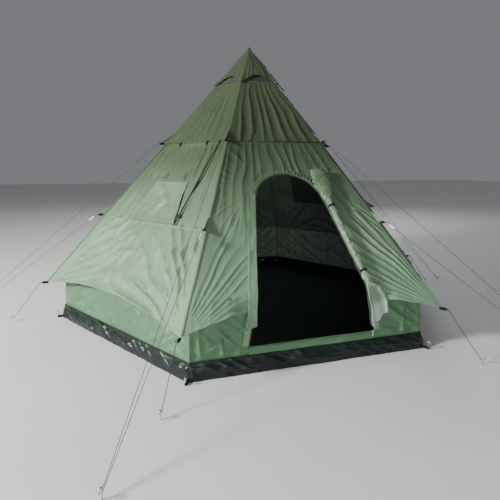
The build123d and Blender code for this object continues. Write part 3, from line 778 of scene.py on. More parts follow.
def side_panel(name):
    """One roof face without the door: rows down it, columns that follow the window."""
    step = 0.0075 if name == "left_front" else 0.011
    fine = 0.0025 if name == "left_front" else 0.004
    heights = spaced(
        (HEM + HEM_OVERLAP, step),
        (WINDOW_HIGH, step),
        (WINDOW_LOW, step / 2),
        (SEAM + 0.0075, fine),
        (SEAM - 0.0075, step * 0.8),
        (WALL_TOP, step),
    )
    rows = on_roof(heights)[:, None]
    half_columns = round(0.80 / step)
    inside = round(0.42 * half_columns)
    column = np.arange(-half_columns, half_columns + 1) / half_columns
    edge = inside / half_columns
    high, low = on_roof(WINDOW_HIGH), on_roof(WINDOW_LOW)
    fall = np.clip((high - rows) / (high - low), 0, 1)
    window_u = window_half(fall) / ridge_half(np.clip(rows, low, high))
    outer = window_u + (np.abs(column) - edge) / (1 - edge) * (1 - window_u)
    u = np.sign(column) * np.where(np.abs(column) < edge, np.abs(column) / edge * window_u, outer)
    s, y = u * ridge_half(rows), np.broadcast_to(rows, u.shape)
    below = spaced((0, 0.06), (0.78, 0.03), (1, 1))[1:, None]
    end_u = u[-1][None]
    end_s = end_u * TIP_HALF
    y_low = FOLD + below * (eave_edge(end_s) - FOLD)
    s_low = end_u * ridge_half(y_low)
    to_edge = np.vstack([np.ones(s.shape), y_low - eave_edge(end_s)])
    s, y = np.vstack([s, s_low]), np.vstack([y, y_low])
    keep = None
    if name in WINDOW_FACES:
        middle = (np.abs(column[:-1] + column[1:]) / 2 < edge)[None]
        mid_height = (height_of(y[:-1, :1]) + height_of(y[1:, :1])) / 2
        keep = ~((mid_height < WINDOW_HIGH) & (mid_height > WINDOW_LOW) & middle)
    lift = drape(name, s, y) + hem_lift(to_edge)
    points = roof_points(FACES[name], s, y, lift)
    top, bottom = on_roof(HEM + HEM_OVERLAP), on_roof(EAVE_MEAN)
    area = (ridge_half(top) + ridge_half(bottom)) * (top - bottom)
    if name in WINDOW_FACES:
        area -= 2 * window_half(0.5) * (high - low)
    roof_sheet(name, (points, keep), area)


for name in FACES:
    if name != "front":
        side_panel(name)


EAVE_GAP = 0.038  # from the door to the end of the front eave
EAVE_START = door_half(0) + EAVE_GAP


def front_outline():
    """Corners of the front sheet's outer edge, from the left of the door round to its right."""
    top = on_roof(HEM + HEM_OVERLAP)
    right = [
        (EAVE_START, FOLD),
        (door_half(WALL_TOP - EAVE_END) + EAVE_GAP, on_roof(EAVE_END)),
        (TIP_HALF, TIP),
        (ridge_half(top), top),
    ]
    return np.array([(-s, y) for s, y in right] + right[::-1])


def door_point(way):
    """A point of the door's outline on the roof, by the way round it from its top."""
    turn = np.minimum(np.abs(way), ARCH_WAY) / DOOR_ARCH
    below = np.maximum(np.abs(way) - ARCH_WAY, 0)
    s = DOOR_ARCH * np.sin(turn) + below * sin(DOOR_LEAN)
    y = ARCH_CENTRE + DOOR_ARCH * np.cos(turn) - below * cos(DOOR_LEAN)
    return np.sign(way) * s, y


def outline_area(s, y):
    """Area inside a closed outline."""
    return abs(np.sum(s * np.roll(y, -1) - y * np.roll(s, -1))) / 2




def front_panel():
    """The front face: columns run from the door's edge out to the eave, ridges and top."""
    joined = [-1, -0.92, -0.80, -0.28, 0.28, 0.80, 0.92, 1]  # share of the door's outline
    tail = 0.8 * DOOR_WAY
    way = spaced((-DOOR_WAY, 0.0032), (-tail, 0.0045), (tail, 0.0032), (DOOR_WAY, 1))
    share = way / DOOR_WAY
    inner = np.stack(door_point(way), axis=-1)
    corners = front_outline()
    outer = np.stack([np.interp(share, joined, corners[:, k]) for k in (0, 1)], axis=-1)
    across = spaced((0, 0.010), (0.06, 0.015), (0.97, 0.01), (1, 1))[:, None]
    flat = inner * (1 - across[..., None]) + outer * across[..., None]
    s, y = flat[..., 0], flat[..., 1]
    to_edge = (1 - across) * np.linalg.norm(outer - inner, axis=1)
    to_edge = np.where(np.abs(share) > 0.80, to_edge, 1.0)
    lift = drape("front", s, y) + hem_lift(to_edge)
    beside = smooth(1 - (np.abs(s) - EAVE_START) / 0.15)
    below = np.maximum(WALL_TOP - height_of(y), 0)
    lift = lift - beside * below / (tan(PITCH) * sin(PITCH)) + 0.003 * beside * (below > 0)
    points = roof_points(FACES["front"], s, y, lift)[::-1]
    roof_sheet("front", (points, None), outline_area(*np.vstack([inner, outer[::-1]]).T))


front_panel()


# Cape, vent, pocket and cap ----------------------------------------------------------------


def ring_grid(apex, pitch, half_at, rows_of, lift_of, columns):
    """A closed band over all six faces of a pyramid, as one grid."""
    sides = []
    for name, turn in FACES.items():
        u = np.arange(columns)[None] / columns * 2 - 1
        y = rows_of(u)
        s = u * half_at(y)
        out = leaning(turn, pitch, s, half_at(y) - np.abs(s), 0.02)
        lift = lift_of(name, s, y, u)[..., None]
        sides.append(Face(turn, (0, 0, apex), pitch).at(s, y) + lift * out)
    return np.hstack(sides), None, True


def band_area(low, high):
    """Area of the six faces between two heights."""
    bottom, top = on_roof(low), on_roof(high)
    return 6 * (ridge_half(bottom) + ridge_half(top)) * (top - bottom)


def cape_lift(name, s, y, u):
    """The cape lies over the roof cloth, pulled down in folds from the apex to its hem."""
    seed = 500 + 10 * list(FACES).index(name)
    to_hem = y - on_roof(HEM)
    folds = fan(s, y, (0, 0.02), (248, 292), 9, 2.1, 0.0150, seed, 0.25, 0.22)
    folds += 0.0045 * rough(s, y, 0.16, seed + 3) + 0.0012 * creases(s, y, 80, 0.2, 0.05, seed)
    corner = 0.010 * bump(1 - np.abs(u), 0.10) * smooth((0.12 - to_hem) / 0.12)
    free = smooth((0.10 - to_hem) / 0.10)
    hem = 0.004 * free * rough(s, 0 * y, 0.12, seed + 5) + hem_lift(to_hem)
    pucker = 0.0012 * bump(to_hem - 0.02, 0.02) * pleats(s / 0.022, seed + 6)
    fade = off_ridge(s, y, 0.09)
    lift = 0.0045 + folds * fade * (1 - 0.3 * free) + corner + hem * fade + pucker
    over_roof = 0.0014 - 0.02 * smooth((to_hem - 0.066) / 0.03)
    return np.maximum(lift, over_roof)


def cone_grid(heights, lift_of, columns):
    """A closed band of the roof's pyramid, with rows at those heights."""
    rows = on_roof(heights)[:, None]
    return ring_grid(APEX, PITCH, ridge_half, lambda u: rows + 0 * u, lift_of, columns)


cape_rows = spaced((VENT_LOW, 0.010), (HEM + 0.03, 0.004), (HEM + 0.012, 0.002), (HEM, 1))
piece(
    "cape_cloth", cone_grid(cape_rows, cape_lift, 84), "cape inside", "cape_cloth", CLOTH,
    replaced="upper_cape",
    flat=(4.45, 0.66), area=band_area(HEM, VENT_LOW), held="stretched", rests_on=["pole_tip"],
)


def cone_band(name, low, high, lift, look, slot, replaced):
    """A taut band of the cone between two heights."""

    def lift_of(face, s, y, u):
        seed = 600 + list(FACES).index(face)
        return lift + 0.003 * rough(s, y, 0.09, seed) * off_ridge(s, y, 0.02)

    grid = cone_grid(spaced((high, 0.012), (low, 1)), lift_of, 24)
    piece(
        name, grid, f"{look} {look}", slot, CLOTH / 2, replaced=replaced,
        flat=(6 * ridge_radius(low), on_roof(high) - on_roof(low)), area=band_area(low, high),
        held="stretched", rests_on=["pole_tip"],
    )


cone_band("vent_net", VENT_LOW - 0.004, 2.082, -0.001, "net", "mesh", "vent_mesh")
cone_band("pole_pocket", 2.080, 2.208, 0.0, "cape", "cape_cloth", "apex_pocket")

CAP_RISE = (CAP_APEX - CAP_CORNER) / CAP_RADIUS
CAP_PITCH = atan(CAP_RISE / HALF_FACE)
CAP_EDGE = (CAP_CORNER - CAP_APEX) / sin(CAP_PITCH)
CAP_SCALLOP = (CAP_ARCH - CAP_CORNER) / sin(CAP_PITCH)
CAP_CUT = 0.010


def cap_half(y):
    """Half the width of one of the cap's faces."""
    return -y * sin(CAP_PITCH) / CAP_RISE / 2


def cap_edge(u):
    """The cap's lower edge, arched over each face."""
    return CAP_EDGE + CAP_SCALLOP * (1 - np.abs(u) ** 2.1)


def cap_rows(u):
    """Rows of the cap's cloth, from its tip down to the arched edge."""
    t = spaced((0, 0.04), (0.86, 0.02), (1, 1))[:, None]
    return -CAP_CUT + t * (cap_edge(u) + CAP_CUT)


def cap_lift(name, s, y, u):
    """The cap's pulls from its tip, its slack belly and its corners, which stand out."""
    seed = 640 + 10 * list(FACES).index(name)
    to_edge = y - cap_edge(u)
    grow = smooth(-y / 0.35)
    pulls = fan(s, y, (0, 0.01), (250, 290), 7, 0.75, 0.0060, seed, 0.02, 0.4)
    belly = 0.010 * (1 - u * u) * grow
    corner = 0.012 * bump(1 - np.abs(u), 0.14) * smooth((0.16 - to_edge) / 0.16)
    at_ridge = smooth((1 - np.abs(u)) / 0.35)
    pucker = 0.0012 * bump(to_edge, 0.012) * pleats(s / 0.016, seed + 2)
    return (pulls + belly + pucker) * at_ridge + corner + hem_lift(to_edge)


piece(
    "cap_cloth", ring_grid(CAP_APEX, CAP_PITCH, cap_half, cap_rows, cap_lift, 40),
    "cape inside", "cape_cloth", CLOTH, replaced="apex_cap",
    flat=(0.67, 0.67), area=0.330, held="draped", rests_on=["pole_tip", "cap_button"],
)


# Ridge bindings, walls and groundsheet -----------------------------------------------------

RIDGE_HALF_WIDTH = 0.009


def ridge_binding(turn):
    """A folded tape over a ridge: rows down the ridge, columns over it."""
    rows = spaced((HEM - 0.004, 0.0065), (EAVE_TIP - 0.001, 1))[:, None]
    offset = spaced((-RIDGE_HALF_WIDTH, 0.0018), (RIDGE_HALF_WIDTH, 1))[None]
    ridge = Face(turn, (0, 0, APEX), RIDGE_PITCH)
    y = (rows - APEX) / sin(RIDGE_PITCH)
    # the two faces fall away from the ridge by this much for each unit across
    fall = tan(atan(tan(radians(30)) * sin(RIDGE_PITCH)) * 0.80)
    seed = 700 + turn
    pucker = 0.0013 * (pleats(rows / 0.019 + 0 * offset, seed) - 0.4)
    edge = np.abs(offset) / RIDGE_HALF_WIDTH
    rounded = np.sqrt(offset**2 + 0.003**2) - 0.003
    stitch = -0.0007 * bump(edge - 0.78, 0.12)
    wander = 0.0015 * noise(rows / 0.11, 0 * rows, seed)
    lift = 0.0030 - fall * rounded + pucker * (0.4 + 0.6 * edge) + stitch
    return ridge.at(offset + wander, y + 0 * offset, lift)


bindings = [ridge_binding(turn) for turn in CORNERS.values()]
piece("ridge_bindings", bindings, "tape tape", "seam_tape", CLOTH, replaced="ridge_tapes")

TUB_OUT = FLOOR_RADIUS - ridge_radius(WALL_TOP)  # how far the tub's foot stands out
TUB_FOOT = 0.0010
FLOOR_LIFT = 0.0022


def wall_lift(name, s, z):
    """Slack, crumpled wall cloth: upright and slanting creases, and folds from its corners."""
    seed = 720 + 20 * list(FACES).index(name)
    half = ridge_radius(WALL_TOP) / 2
    lift = 0.0080 * rough(s, z, 0.22, seed)
    lift += 0.0120 * (creases(s, z, 90, 0.24, 0.075, seed + 3) - 0.35)
    lift += 0.0110 * (creases(s, z, 30, 0.30, 0.060, seed + 4) - 0.35)
    lift += 0.0100 * (creases(s, z, 140, 0.26, 0.055, seed + 5) - 0.35)
    for side, turns in ((-1, (4, 70)), (1, (110, 176))):
        corner = (side * half, TUB_HEIGHT)
        lift += fan(s, z, corner, turns, 5, 0.60, 0.0110, seed + 8 + side, 0.01, 0.5)
    lift += 0.0020 * bump(z - TUB_HEIGHT, 0.025) * (pleats(s / 0.020, seed + 11) - 0.4)
    fixed = smooth((z - TUB_HEIGHT) / 0.03) * smooth((WALL_TOP - z) / 0.02)
    at_corner = smooth((half - np.abs(s)) / 0.03)
    return lift * fixed * at_corner


def wall_points(name, s, z, lift):
    """Points of a wall's cloth, a little inside the wall's plane."""
    return wall_face(FACES[name]).at(s, z, lift - 0.0035)


def wall_grids():
    """Five whole walls, and the front one on each side of the door."""
    grids = []
    z = spaced((WALL_TOP - 0.004, 0.008), (TUB_HEIGHT - 0.018, 1))[:, None]
    half = ridge_radius(WALL_TOP) / 2
    for name in FACES:
        if name == "front":
            continue
        s = spaced((-half, 0.009), (half, 1))[None]
        grids.append(wall_points(name, s + 0 * z, z + 0 * s, wall_lift(name, s, z)))
    t = spaced((0, 0.02), (1, 1))[None]
    edge = door_half(WALL_TOP - np.maximum(z, SILL))
    for side in (-1, 1):
        s = side * (edge + t * (half - edge))
        if side < 0:
            s = s[:, ::-1]
        grids.append(wall_points("front", s, z + 0 * s, wall_lift("front", s, z)))
    return grids


wall_area = (WALL_TOP - TUB_HEIGHT) * (ridge_radius(WALL_TOP) * 6 - 2 * door_half(0.15))
piece(
    "wall_cloth", wall_grids(), "wall inside", "canopy_cloth", CLOTH, replaced="wall_panels",
    flat=(8.4, 0.35), area=wall_area, held="hung", rests_on=["roof_cloth_back", "tub_cloth"],
)


def tub_grid():
    """The tub's sides, leaning out to the ground, in folds longer than they are high."""
    sides = []
    t = spaced((0, 0.04), (1, 1))[:, None]  # from the top edge to the ground
    for k, turn in enumerate(FACES.values()):
        u = np.arange(300)[None] / 300 * 2 - 1
        s = u * 0.77 + 0 * t
        seed = 860 + 10 * k
        down = t * 0.1
        lift = 0.0070 * rough(s, down, 0.16, seed) + 0.0080 * bump(t - 0.50, 0.30)
        lift += 0.0075 * (creases(s, down, 28, 0.26, 0.034, seed + 3) - 0.35)
        lift += 0.0060 * (creases(s, down, 146, 0.22, 0.038, seed + 4) - 0.35)
        lift += 0.0045 * (creases(s, down, 4, 0.36, 0.022, seed + 5) - 0.35)
        fade = smooth(t / 0.15) * (0.35 + 0.65 * smooth((1 - t) / 0.3))
        lift = lift * fade + 0.0012 * smooth((0.12 - t) / 0.03)
        radius = ridge_radius(WALL_TOP) + (TUB_OUT - 0.002) * t + 0.001
        s = u * radius / 2
        out = radius * HALF_FACE + lift * smooth((radius / 2 - np.abs(s)) / 0.02) + 0.0025
        z = TUB_HEIGHT + (TUB_FOOT - TUB_HEIGHT) * t
        sides.append(Face(turn, (0, 0, 0), pi / 2).at(s, z, out))
    return np.hstack(sides), None, True


piece(
    "tub_cloth", tub_grid(), "tub tub", "tub_sheet", CLOTH, replaced="tub_sides",
    flat=(9.25, 0.1), held="stretched", rests_on=["floor_cloth"],
)


def floor_grid():
    """The groundsheet: rings from its middle out to the hexagon's edge."""
    t = spaced((0.02, 0.012), (1, 1))[:, None]
    sides = []
    for turn in FACES.values():
        u = np.arange(90)[None] / 90 * 2 - 1
        edge = t * (FLOOR_RADIUS - 0.001)
        spot = Face(turn, (0, 0, 0), pi / 2).at(u * edge / 2, 0.0, edge * HALF_FACE)
        x, y = spot[..., 0], spot[..., 1]
        wrinkle = 0.0010 * rough(x, y, 0.3, 900) + 0.0016 * creases(x, y, 20, 0.5, 0.1, 904)
        wrinkle += 0.0014 * creases(x, y, 100, 0.6, 0.12, 905)
        calm = smooth((1 - t) / 0.05) * smooth((np.hypot(x, y) - 0.13) / 0.05)
        spot[..., 2] = FLOOR_LIFT + wrinkle * calm
        sides.append(spot)
    rings = np.hstack(sides)
    middle = np.broadcast_to([0, 0, FLOOR_LIFT], (1, rings.shape[1], 3))
    return np.vstack([middle, rings]), None, True


piece(
    "floor_cloth", floor_grid(), "tub tub", "tub_sheet", CLOTH, welded=True,
    replaced="floor_sheet", flat=(2 * FLOOR_RADIUS, 2 * FLOOR_RADIUS * HALF_FACE),
    area=1.5 * sqrt(3) * FLOOR_RADIUS**2, held="laid",
)


# Door --------------------------------------------------------------------------------------

FRONT = FACES["front"]
SILL_HALF = door_half(WALL_TOP - SILL)


def eased(values, times=3):
    """A list of points or numbers with its corners eased, its ends kept."""
    values = np.array(values, float)
    for _ in range(times):
        values[1:-1] = (values[:-2] + 2 * values[1:-1] + values[2:]) / 4
    return values


def resampled(points, extra, step):
    """Points step apart along a line, and other values carried along with it."""
    points = np.array(points, float)
    way = np.concatenate([[0], np.cumsum(np.linalg.norm(np.diff(points, axis=0), axis=1))])
    at = np.linspace(0, way[-1], max(2, round(way[-1] / step)))
    line = np.stack([np.interp(at, way, points[:, k]) for k in range(3)], axis=-1)
    return line, [np.interp(at, way, values) for values in extra]


# The rolled door: place across, height and radius. The ties are where it is narrow.
DOOR_ROLLED = [
    (0.256, 1.150, 0.046),
    (0.264, 1.095, 0.066),
    (0.266, 1.025, 0.060),
    (0.266, 0.962, 0.038),
    (0.279, 0.900, 0.017),
    (0.294, 0.820, 0.021),
    (0.318, 0.680, 0.017),
    (0.343, 0.550, 0.020),
    (0.352, 0.512, 0.015),
    (0.357, 0.478, 0.024),
]
# The loose end below it: place across, height, half width and how far it has spread
DOOR_LOOSE = [
    (0.368, 0.425, 0.030, 0.6),
    (0.396, 0.340, 0.046, 0.9),
    (0.428, 0.262, 0.066, 1.0),
    (0.438, 0.180, 0.064, 1.0),
]
FRONT_WALL = ridge_radius(WALL_TOP) * HALF_FACE  # how far the front wall is from the middle


def door_roll():
    """The outer door, rolled up along its right edge, with its loose end hanging below."""
    face = roof_face(FRONT)
    points = [face.at(s, on_roof(z), 0.008 + min(r, 0.022)) for s, z, r in DOOR_ROLLED]
    points += [np.array([s, -FRONT_WALL - 0.028, z]) for s, z, _, _ in DOOR_LOOSE]
    size = [spot[2] for spot in DOOR_ROLLED + DOOR_LOOSE]
    spread = [0.0] * (len(DOOR_ROLLED) - 1) + [0.1] + [spot[3] for spot in DOOR_LOOSE]
    line, (size, spread) = resampled(points, [size, spread], 0.005)
    line, size, spread = eased(line, 40), eased(size, 6), smooth(spread)
    tangent = np.gradient(line, axis=0)
    tangent /= np.linalg.norm(tangent, axis=1)[:, None]
    forward = np.array([0, -1.0, 0.25])
    out = forward - (tangent @ forward)[:, None] * tangent
    out /= np.linalg.norm(out, axis=1)[:, None]
    side = np.cross(out, tangent)
    t = np.linspace(0, 1, 400)[None]
    row = np.arange(len(line))[:, None] * 0.005
    turn = 2 * pi * 7.6 * (1 - t) ** 0.85 + 0.9 * noise(row / 0.11, 0 * t, 31)
    radius = size[:, None] * (0.16 + 0.84 * t**0.6)
    lobes = 0.30 * rough(np.cos(turn) * 1.3 + 5, np.sin(turn) * 1.3 + row / 0.045, 1.0, 33)
    cross = 0.34 * (creases(row, turn * 0.026, 35, 0.07, 0.026, 37) - 0.4)
    cross += 0.30 * (creases(row, turn * 0.026, -50, 0.08, 0.030, 38) - 0.4)
    radius = radius * (1 + (lobes + cross) * (0.4 + 0.6 * t))
    flat = np.minimum(1, 0.026 / size)[:, None]
    rolled_x, rolled_y = radius * np.cos(turn), radius * np.sin(turn) * 0.85 * flat
    width = size[:, None] * (1 + 0.10 * noise(row / 0.08, 0 * t, 41))
    wave = t + 0.02 * noise(t * 5, row / 0.09, 42)
    pleated_x = width * (2 * t - 1) + 0.004 * noise(t * 9, row / 0.06, 43)
    pleated_y = 0.011 * np.sin(2 * pi * 2.5 * wave) * (0.6 + 0.4 * noise(t * 7, row / 0.3, 44))
    pleated_y += 0.012 * (2 * t - 1) ** 2
    part = spread[:, None]
    x = rolled_x * (1 - part) + pleated_x * part
    y = rolled_y * (1 - part) + pleated_y * part
    grid = line[:, None] + x[..., None] * side[:, None] + y[..., None] * out[:, None]
    drop = 0.020 * noise(t * 4, 0 * row, 46) + 0.075 * smooth(t)
    grid[..., 2] += drop * part**3
    return grid


door_way = np.linspace(-DOOR_WAY, DOOR_WAY, 60)
door_area = outline_area(*door_point(door_way)) + (door_half(0) + SILL_HALF) * (WALL_TOP - SILL)
piece(
    "door_cloth", door_roll(), "door", "door_cloth", 0.0008, replaced="door_flap",
    flat=(2 * SILL_HALF, 1.15), area=door_area, held="gathered",
    rests_on=["roof_cloth_front", "door_tie_bands"],
)


def roll_tie(s, height, radius, seed):
    """A webbing band round the roll with its toggle: two grids."""
    face = roof_face(FRONT)
    middle = face.at(s, on_roof(height), 0.010 + radius)
    down = face.at(s + 0.012, on_roof(height - 0.05), 0.010 + radius) - middle
    down /= np.linalg.norm(down)
    side = np.cross(face.n, down)
    turn = np.linspace(0, 2 * pi, 40, endpoint=False)
    wobble = 1 + 0.05 * noise(turn * 1.3, 0 * turn, seed)
    loop = (np.cos(turn) * wobble)[:, None] * side + (np.sin(turn) * 0.9 * wobble)[:, None] * face.n
    rows = middle + (radius + 0.004) * loop
    width = np.array([-0.006, -0.003, 0, 0.003, 0.006])
    band = rows[None] + width[:, None, None] * down
    across = np.linspace(-0.016, 0.016, 9)
    toggle = [middle + face.n * (radius + 0.009) + side * x for x in across]
    size = 0.0045 * np.array([0.55, 0.9, 1, 0.95, 0.75, 0.95, 1, 0.9, 0.55])
    return (band, None, True), tube_grid(toggle, size, sides=12)


UPPER_TIE = (0.279, 0.900, 0.019)  # place across, height and radius
LOWER_TIE = (0.352, 0.512, 0.017)
bands, toggles = zip(roll_tie(*UPPER_TIE, 51), roll_tie(*LOWER_TIE, 52))
piece(
    "door_tie_bands", list(bands), "webbing webbing", "webbing", WEBBING, replaced="door_ties"
)
piece("door_tie_toggles", list(toggles), "plastic", "black_plastic", welded=True)


def door_edge(step):
    """The door's edge from the left of the sill over the arch to the right of the sill:
    points, directions away from the door in the cloth, and directions out of it."""
    roof, wall = roof_face(FRONT), wall_face(FRONT)
    way = spaced((-DOOR_WAY, step), (DOOR_WAY, 1))
    s, y = door_point(way)
    ahead_s, ahead_y = door_point(way + 1e-4)
    along = np.stack([ahead_s - s, ahead_y - y], axis=-1)
    along /= np.linalg.norm(along, axis=1)[:, None]
    points = roof.at(s, y, drape("front", s, y))
    away = -along[:, 1:] * roof.x + along[:, :1] * roof.y
    arch = points, away, np.broadcast_to(roof.n, points.shape)
    z = spaced((SILL, step), (WALL_TOP - 0.004, 1))
    half = door_half(WALL_TOP - z)
    sides = []
    for side in (-1, 1):
        spots = wall.at(side * half, z, 0 * z)
        beside = side * wall.x * cos(DOOR_LEAN) + np.array([0, 0, sin(DOOR_LEAN)])
        sides.append((spots, np.broadcast_to(beside, spots.shape), 0 * spots + wall.n))
    joined = zip(sides[0], arch, sides[1])
    return [eased(np.vstack([left, top, right[::-1]]), 10) for left, top, right in joined]


def edge_band():
    """The binding along the door's edge, with its rolled hem and slanting puckers."""
    step, seed = 0.0035, 61
    points, away, out = door_edge(step)
    across = np.linspace(-0.0005, 0.0360, 18)[None]
    row = np.arange(len(points))[:, None] * step
    over_arch = 0.25 + 0.75 * smooth((0.34 - np.abs(row - row[-1] / 2)) / 0.1)
    pucker = 0.0055 * over_arch * (pleats(row / 0.024 + across * 14, seed) - 0.3)
    wander = 0.0015 * noise(row / 0.06, 0 * row, seed + 1)
    lift = rolled_hem(across) + pucker * smooth((across - 0.001) / 0.014)
    beside = (across + wander)[..., None] * away[:, None]
    return points[:, None] + beside + lift[..., None] * out[:, None]


def rolled_hem(across):
    """Height of the door's binding over the cloth, from its rolled edge outward."""
    edge = 0.0022 * np.sqrt(np.clip(1 - ((across - 0.005) / 0.0055) ** 2, 0, 1))
    rise = 0.0012 * smooth(across / 0.01) - 0.0026 * smooth((across - 0.029) / 0.007)
    return edge + 0.0024 + rise


piece("door_binding", edge_band(), "tape tape", "seam_tape", 0.0010, flip=True)


def zip_coil(line):
    """Two rows of coils side by side along a line, as one ribbed tube."""
    return tube_grid(line, 0.0022 * (1 + 0.22 * np.cos(pi * np.arange(len(line)))), sides=8)


points, away, out = door_edge(0.003)
coil = zip_coil(points - 0.0065 * away + 0.0025 * out)
piece("door_zip_coil", coil, "zip", "zip_tape", welded=True, replaced="door_zip")


def storm_flap():
    """The strip of cloth over the left zip: on the roof, then down the wall, ending loose."""
    z = spaced((height_of(ARCH_FOOT) + 0.030, 0.006), (0.262, 1))[:, None]
    across = np.linspace(-0.006, 0.052, 14)[None]
    outer = across / 0.052
    y = on_roof(z)
    s = -(door_half(np.where(z < WALL_TOP, 0.3 * (WALL_TOP - z), FOLD - y)) + across)
    lift = 0.0095 + 0.0040 * rough(across, z, 0.10, 71)
    lift = lift + 0.0045 * creases(across, z, 15, 0.06, 0.02, 72)
    lift = lift + 0.0040 * outer * noise(z / 0.05, 0 * outer, 73)
    lift = lift + 0.022 * smooth((0.36 - z) / 0.10) * (0.4 + 0.6 * outer)
    roof_part = roof_face(FRONT).at(s, y, lift + drape("front", s, y))
    wall_part = wall_face(FRONT).at(s, z, lift)
    return eased(np.where((z < WALL_TOP)[..., None], wall_part, roof_part), 12)[:, ::-1]


piece(
    "storm_flap_cloth", storm_flap(), "canopy canopy", "canopy_cloth", WEBBING,
    replaced="storm_flap", flat=(0.058, 0.87), held="hung",
    rests_on=["roof_cloth_front", "door_binding"],
)


def sill_grid():
    """The strip of wall below the door, with its rolled upper edge and its puckers."""
    s = spaced((-SILL_HALF, 0.006), (SILL_HALF, 1))[None]
    z = spaced((SILL, 0.003), (TUB_HEIGHT - 0.012, 1))[:, None]
    lift = 0.0030 + 0.0035 * rough(s, z, 0.09, 81) + 0.0030 * creases(s, z, 10, 0.16, 0.03, 82)
    rolled = 0.0030 * bump(z - SILL + 0.004, 0.006)
    pucker = 0.0016 * bump(z - SILL + 0.01, 0.02) * pleats(s / 0.018, 83)
    low = smooth((z - TUB_HEIGHT + 0.012) / 0.02)
    return wall_face(FRONT).at(s + 0 * z, z + 0 * s, (lift + pucker) * low + rolled)


piece(
    "door_sill_cloth", sill_grid(), "wall wall", "canopy_cloth", 0.0016,
    replaced="door_sill", flat=(2 * SILL_HALF, 0.062), held="stretched", rests_on=["tub_cloth"],
)
s = spaced((-SILL_HALF + 0.004, 0.003), (SILL_HALF - 0.004, 1))
line = wall_face(FRONT).at(s, SILL - 0.005 + 0.0012 * noise(s / 0.07, 0 * s, 86), 0.0085)
piece("sill_zip_coil", zip_coil(line), "zip", "zip_tape", welded=True)

# The rolled mesh door inside: place across and height, on the roof and then beside the wall
NET_ON_ROOF = [
    (0.196, 1.085),
    (0.262, 1.010),
    (0.304, 0.860),
    (0.334, 0.700),
    (0.362, 0.540),
    (0.380, 0.470),
]
NET_ON_WALL = [(0.392, 0.420), (0.408, 0.300), (0.424, 0.172)]
NET_RADIUS = 0.015
NET_END = 0.009


def mesh_roll():
    """The mosquito mesh door, rolled up inside along the right edge."""
    face = roof_face(FRONT)
    size = [NET_END] + [NET_RADIUS] * (len(NET_ON_ROOF) + len(NET_ON_WALL) - 1)
    points = [face.at(s, on_roof(z), -0.012 - r) for (s, z), r in zip(NET_ON_ROOF, size)]
    points += [np.array([s, -FRONT_WALL + 0.014 + NET_RADIUS, z]) for s, z in NET_ON_WALL]
    line, (size,) = resampled(points, [size], 0.008)

    def ripple(angle, along):
        lobes = 0.16 * rough(np.cos(angle) + 4, np.sin(angle) + along * 14, 0.8, 91)
        return 1 + lobes - 0.15 * bump((along * 6) % 1 - 0.5, 0.12)

    return tube_grid(eased(line, 30), eased(size, 4), sides=20, ripple=ripple)


net_roll = piece("mesh_door_roll", mesh_roll(), "net", "mesh", welded=True, replaced="mesh_door")


# Windows, straps and loops -----------------------------------------------------------------

HINGE_GROW = 0.012  # how much wider a flap is than its window, on each side
STRAP, TIES, LOOPS = 0.300, 0.105, 0.160  # from the window's middle line


def window_rows(step):
    """Rows down a window, a little wider than its opening, and its half width at each."""
    low, high = on_roof(WINDOW_LOW) - HINGE_GROW, on_roof(WINDOW_HIGH) + HINGE_GROW
    y = spaced((high, step), (low, 1))[:, None]
    return y, window_half((high - y) / (high - low)) + HINGE_GROW


def flap_grid(name):
    """The window's flap: slack cloth with a hem, and slanting folds from its corners."""
    y, half = window_rows(0.006)
    u = spaced((-1, 0.022), (1, 1))[None]
    s = u * half
    y = y + 0 * u
    seed = 120 + 10 * list(FACES).index(name)
    low, high = on_roof(WINDOW_LOW), on_roof(WINDOW_HIGH)
    lift = 0.0036 + drape(name, s, y) + 0.0045 * rough(s, y, 0.12, seed)
    lift += fold(s, y, (-0.16, high), (0.16, low + 0.05), 0.030, 0.008, bow=0.02)
    lift += fold(s, y, (0.17, high - 0.02), (-0.06, low + 0.02), 0.024, 0.007, bow=-0.02)
    lift += fold(s, y, (-0.22, low + 0.04), (0.08, high - 0.08), 0.022, 0.005, bow=0.01)
    lift += 0.0050 * (creases(s, y, 60, 0.16, 0.05, seed + 3) - 0.3)
    lift = np.maximum(lift, 0.0016 + drape(name, s, y))
    to_edge = np.minimum(half * (1 - np.abs(u)), y - y[-1:])
    free = smooth((0.05 - to_edge) / 0.05) * smooth((y[:1] - y) / 0.1)
    lift += 0.0035 * free * (1 + noise(s / 0.06, y / 0.06, seed + 5)) + hem_lift(to_edge)
    return roof_face(FACES[name]).at(s, y, lift)


def net_grid(name):
    """The net behind a window, as taut as the roof around it."""
    y, half = window_rows(0.012)
    u = spaced((-1, 0.05), (1, 1))[None]
    s, y = u * half, y + 0 * u
    return roof_face(FACES[name]).at(s, y, drape(name, s, y) - 0.0030)


for name, side in WINDOW_FACES.items():
    piece(
        f"window_flap_cloth_{side}", flap_grid(name), "flap inside", "canopy_cloth", CLOTH,
        body=f"window_flap_{side}_body", replaced=f"window_flap_{side}",
        flat=(0.564, 0.344), area=0.160, held="hung", rests_on=[f"roof_cloth_{name}"],
    )
piece(
    "window_nets", [net_grid(name) for name in WINDOW_FACES], "net net", "mesh", 0.0005,
    replaced="window_meshes", flat=(1.128, 0.344), area=0.320, held="stretched",
    rests_on=["roof_cloth_left_front", "roof_cloth_right_back"],
)


def ribbon(line, across, width):
    """A flat strip along a line of points."""
    across = np.broadcast_to(np.array(across, float), (len(line), 3))
    places = np.linspace(-width / 2, width / 2, 5)
    return np.array(line)[:, None] + places[None, :, None] * across[:, None]


def on_face(turn, spots, step=0.006):
    """A line over a roof face through (s, y, lift) spots."""
    face = roof_face(turn)
    return eased(resampled([face.at(*spot) for spot in spots], [], step)[0], 3)


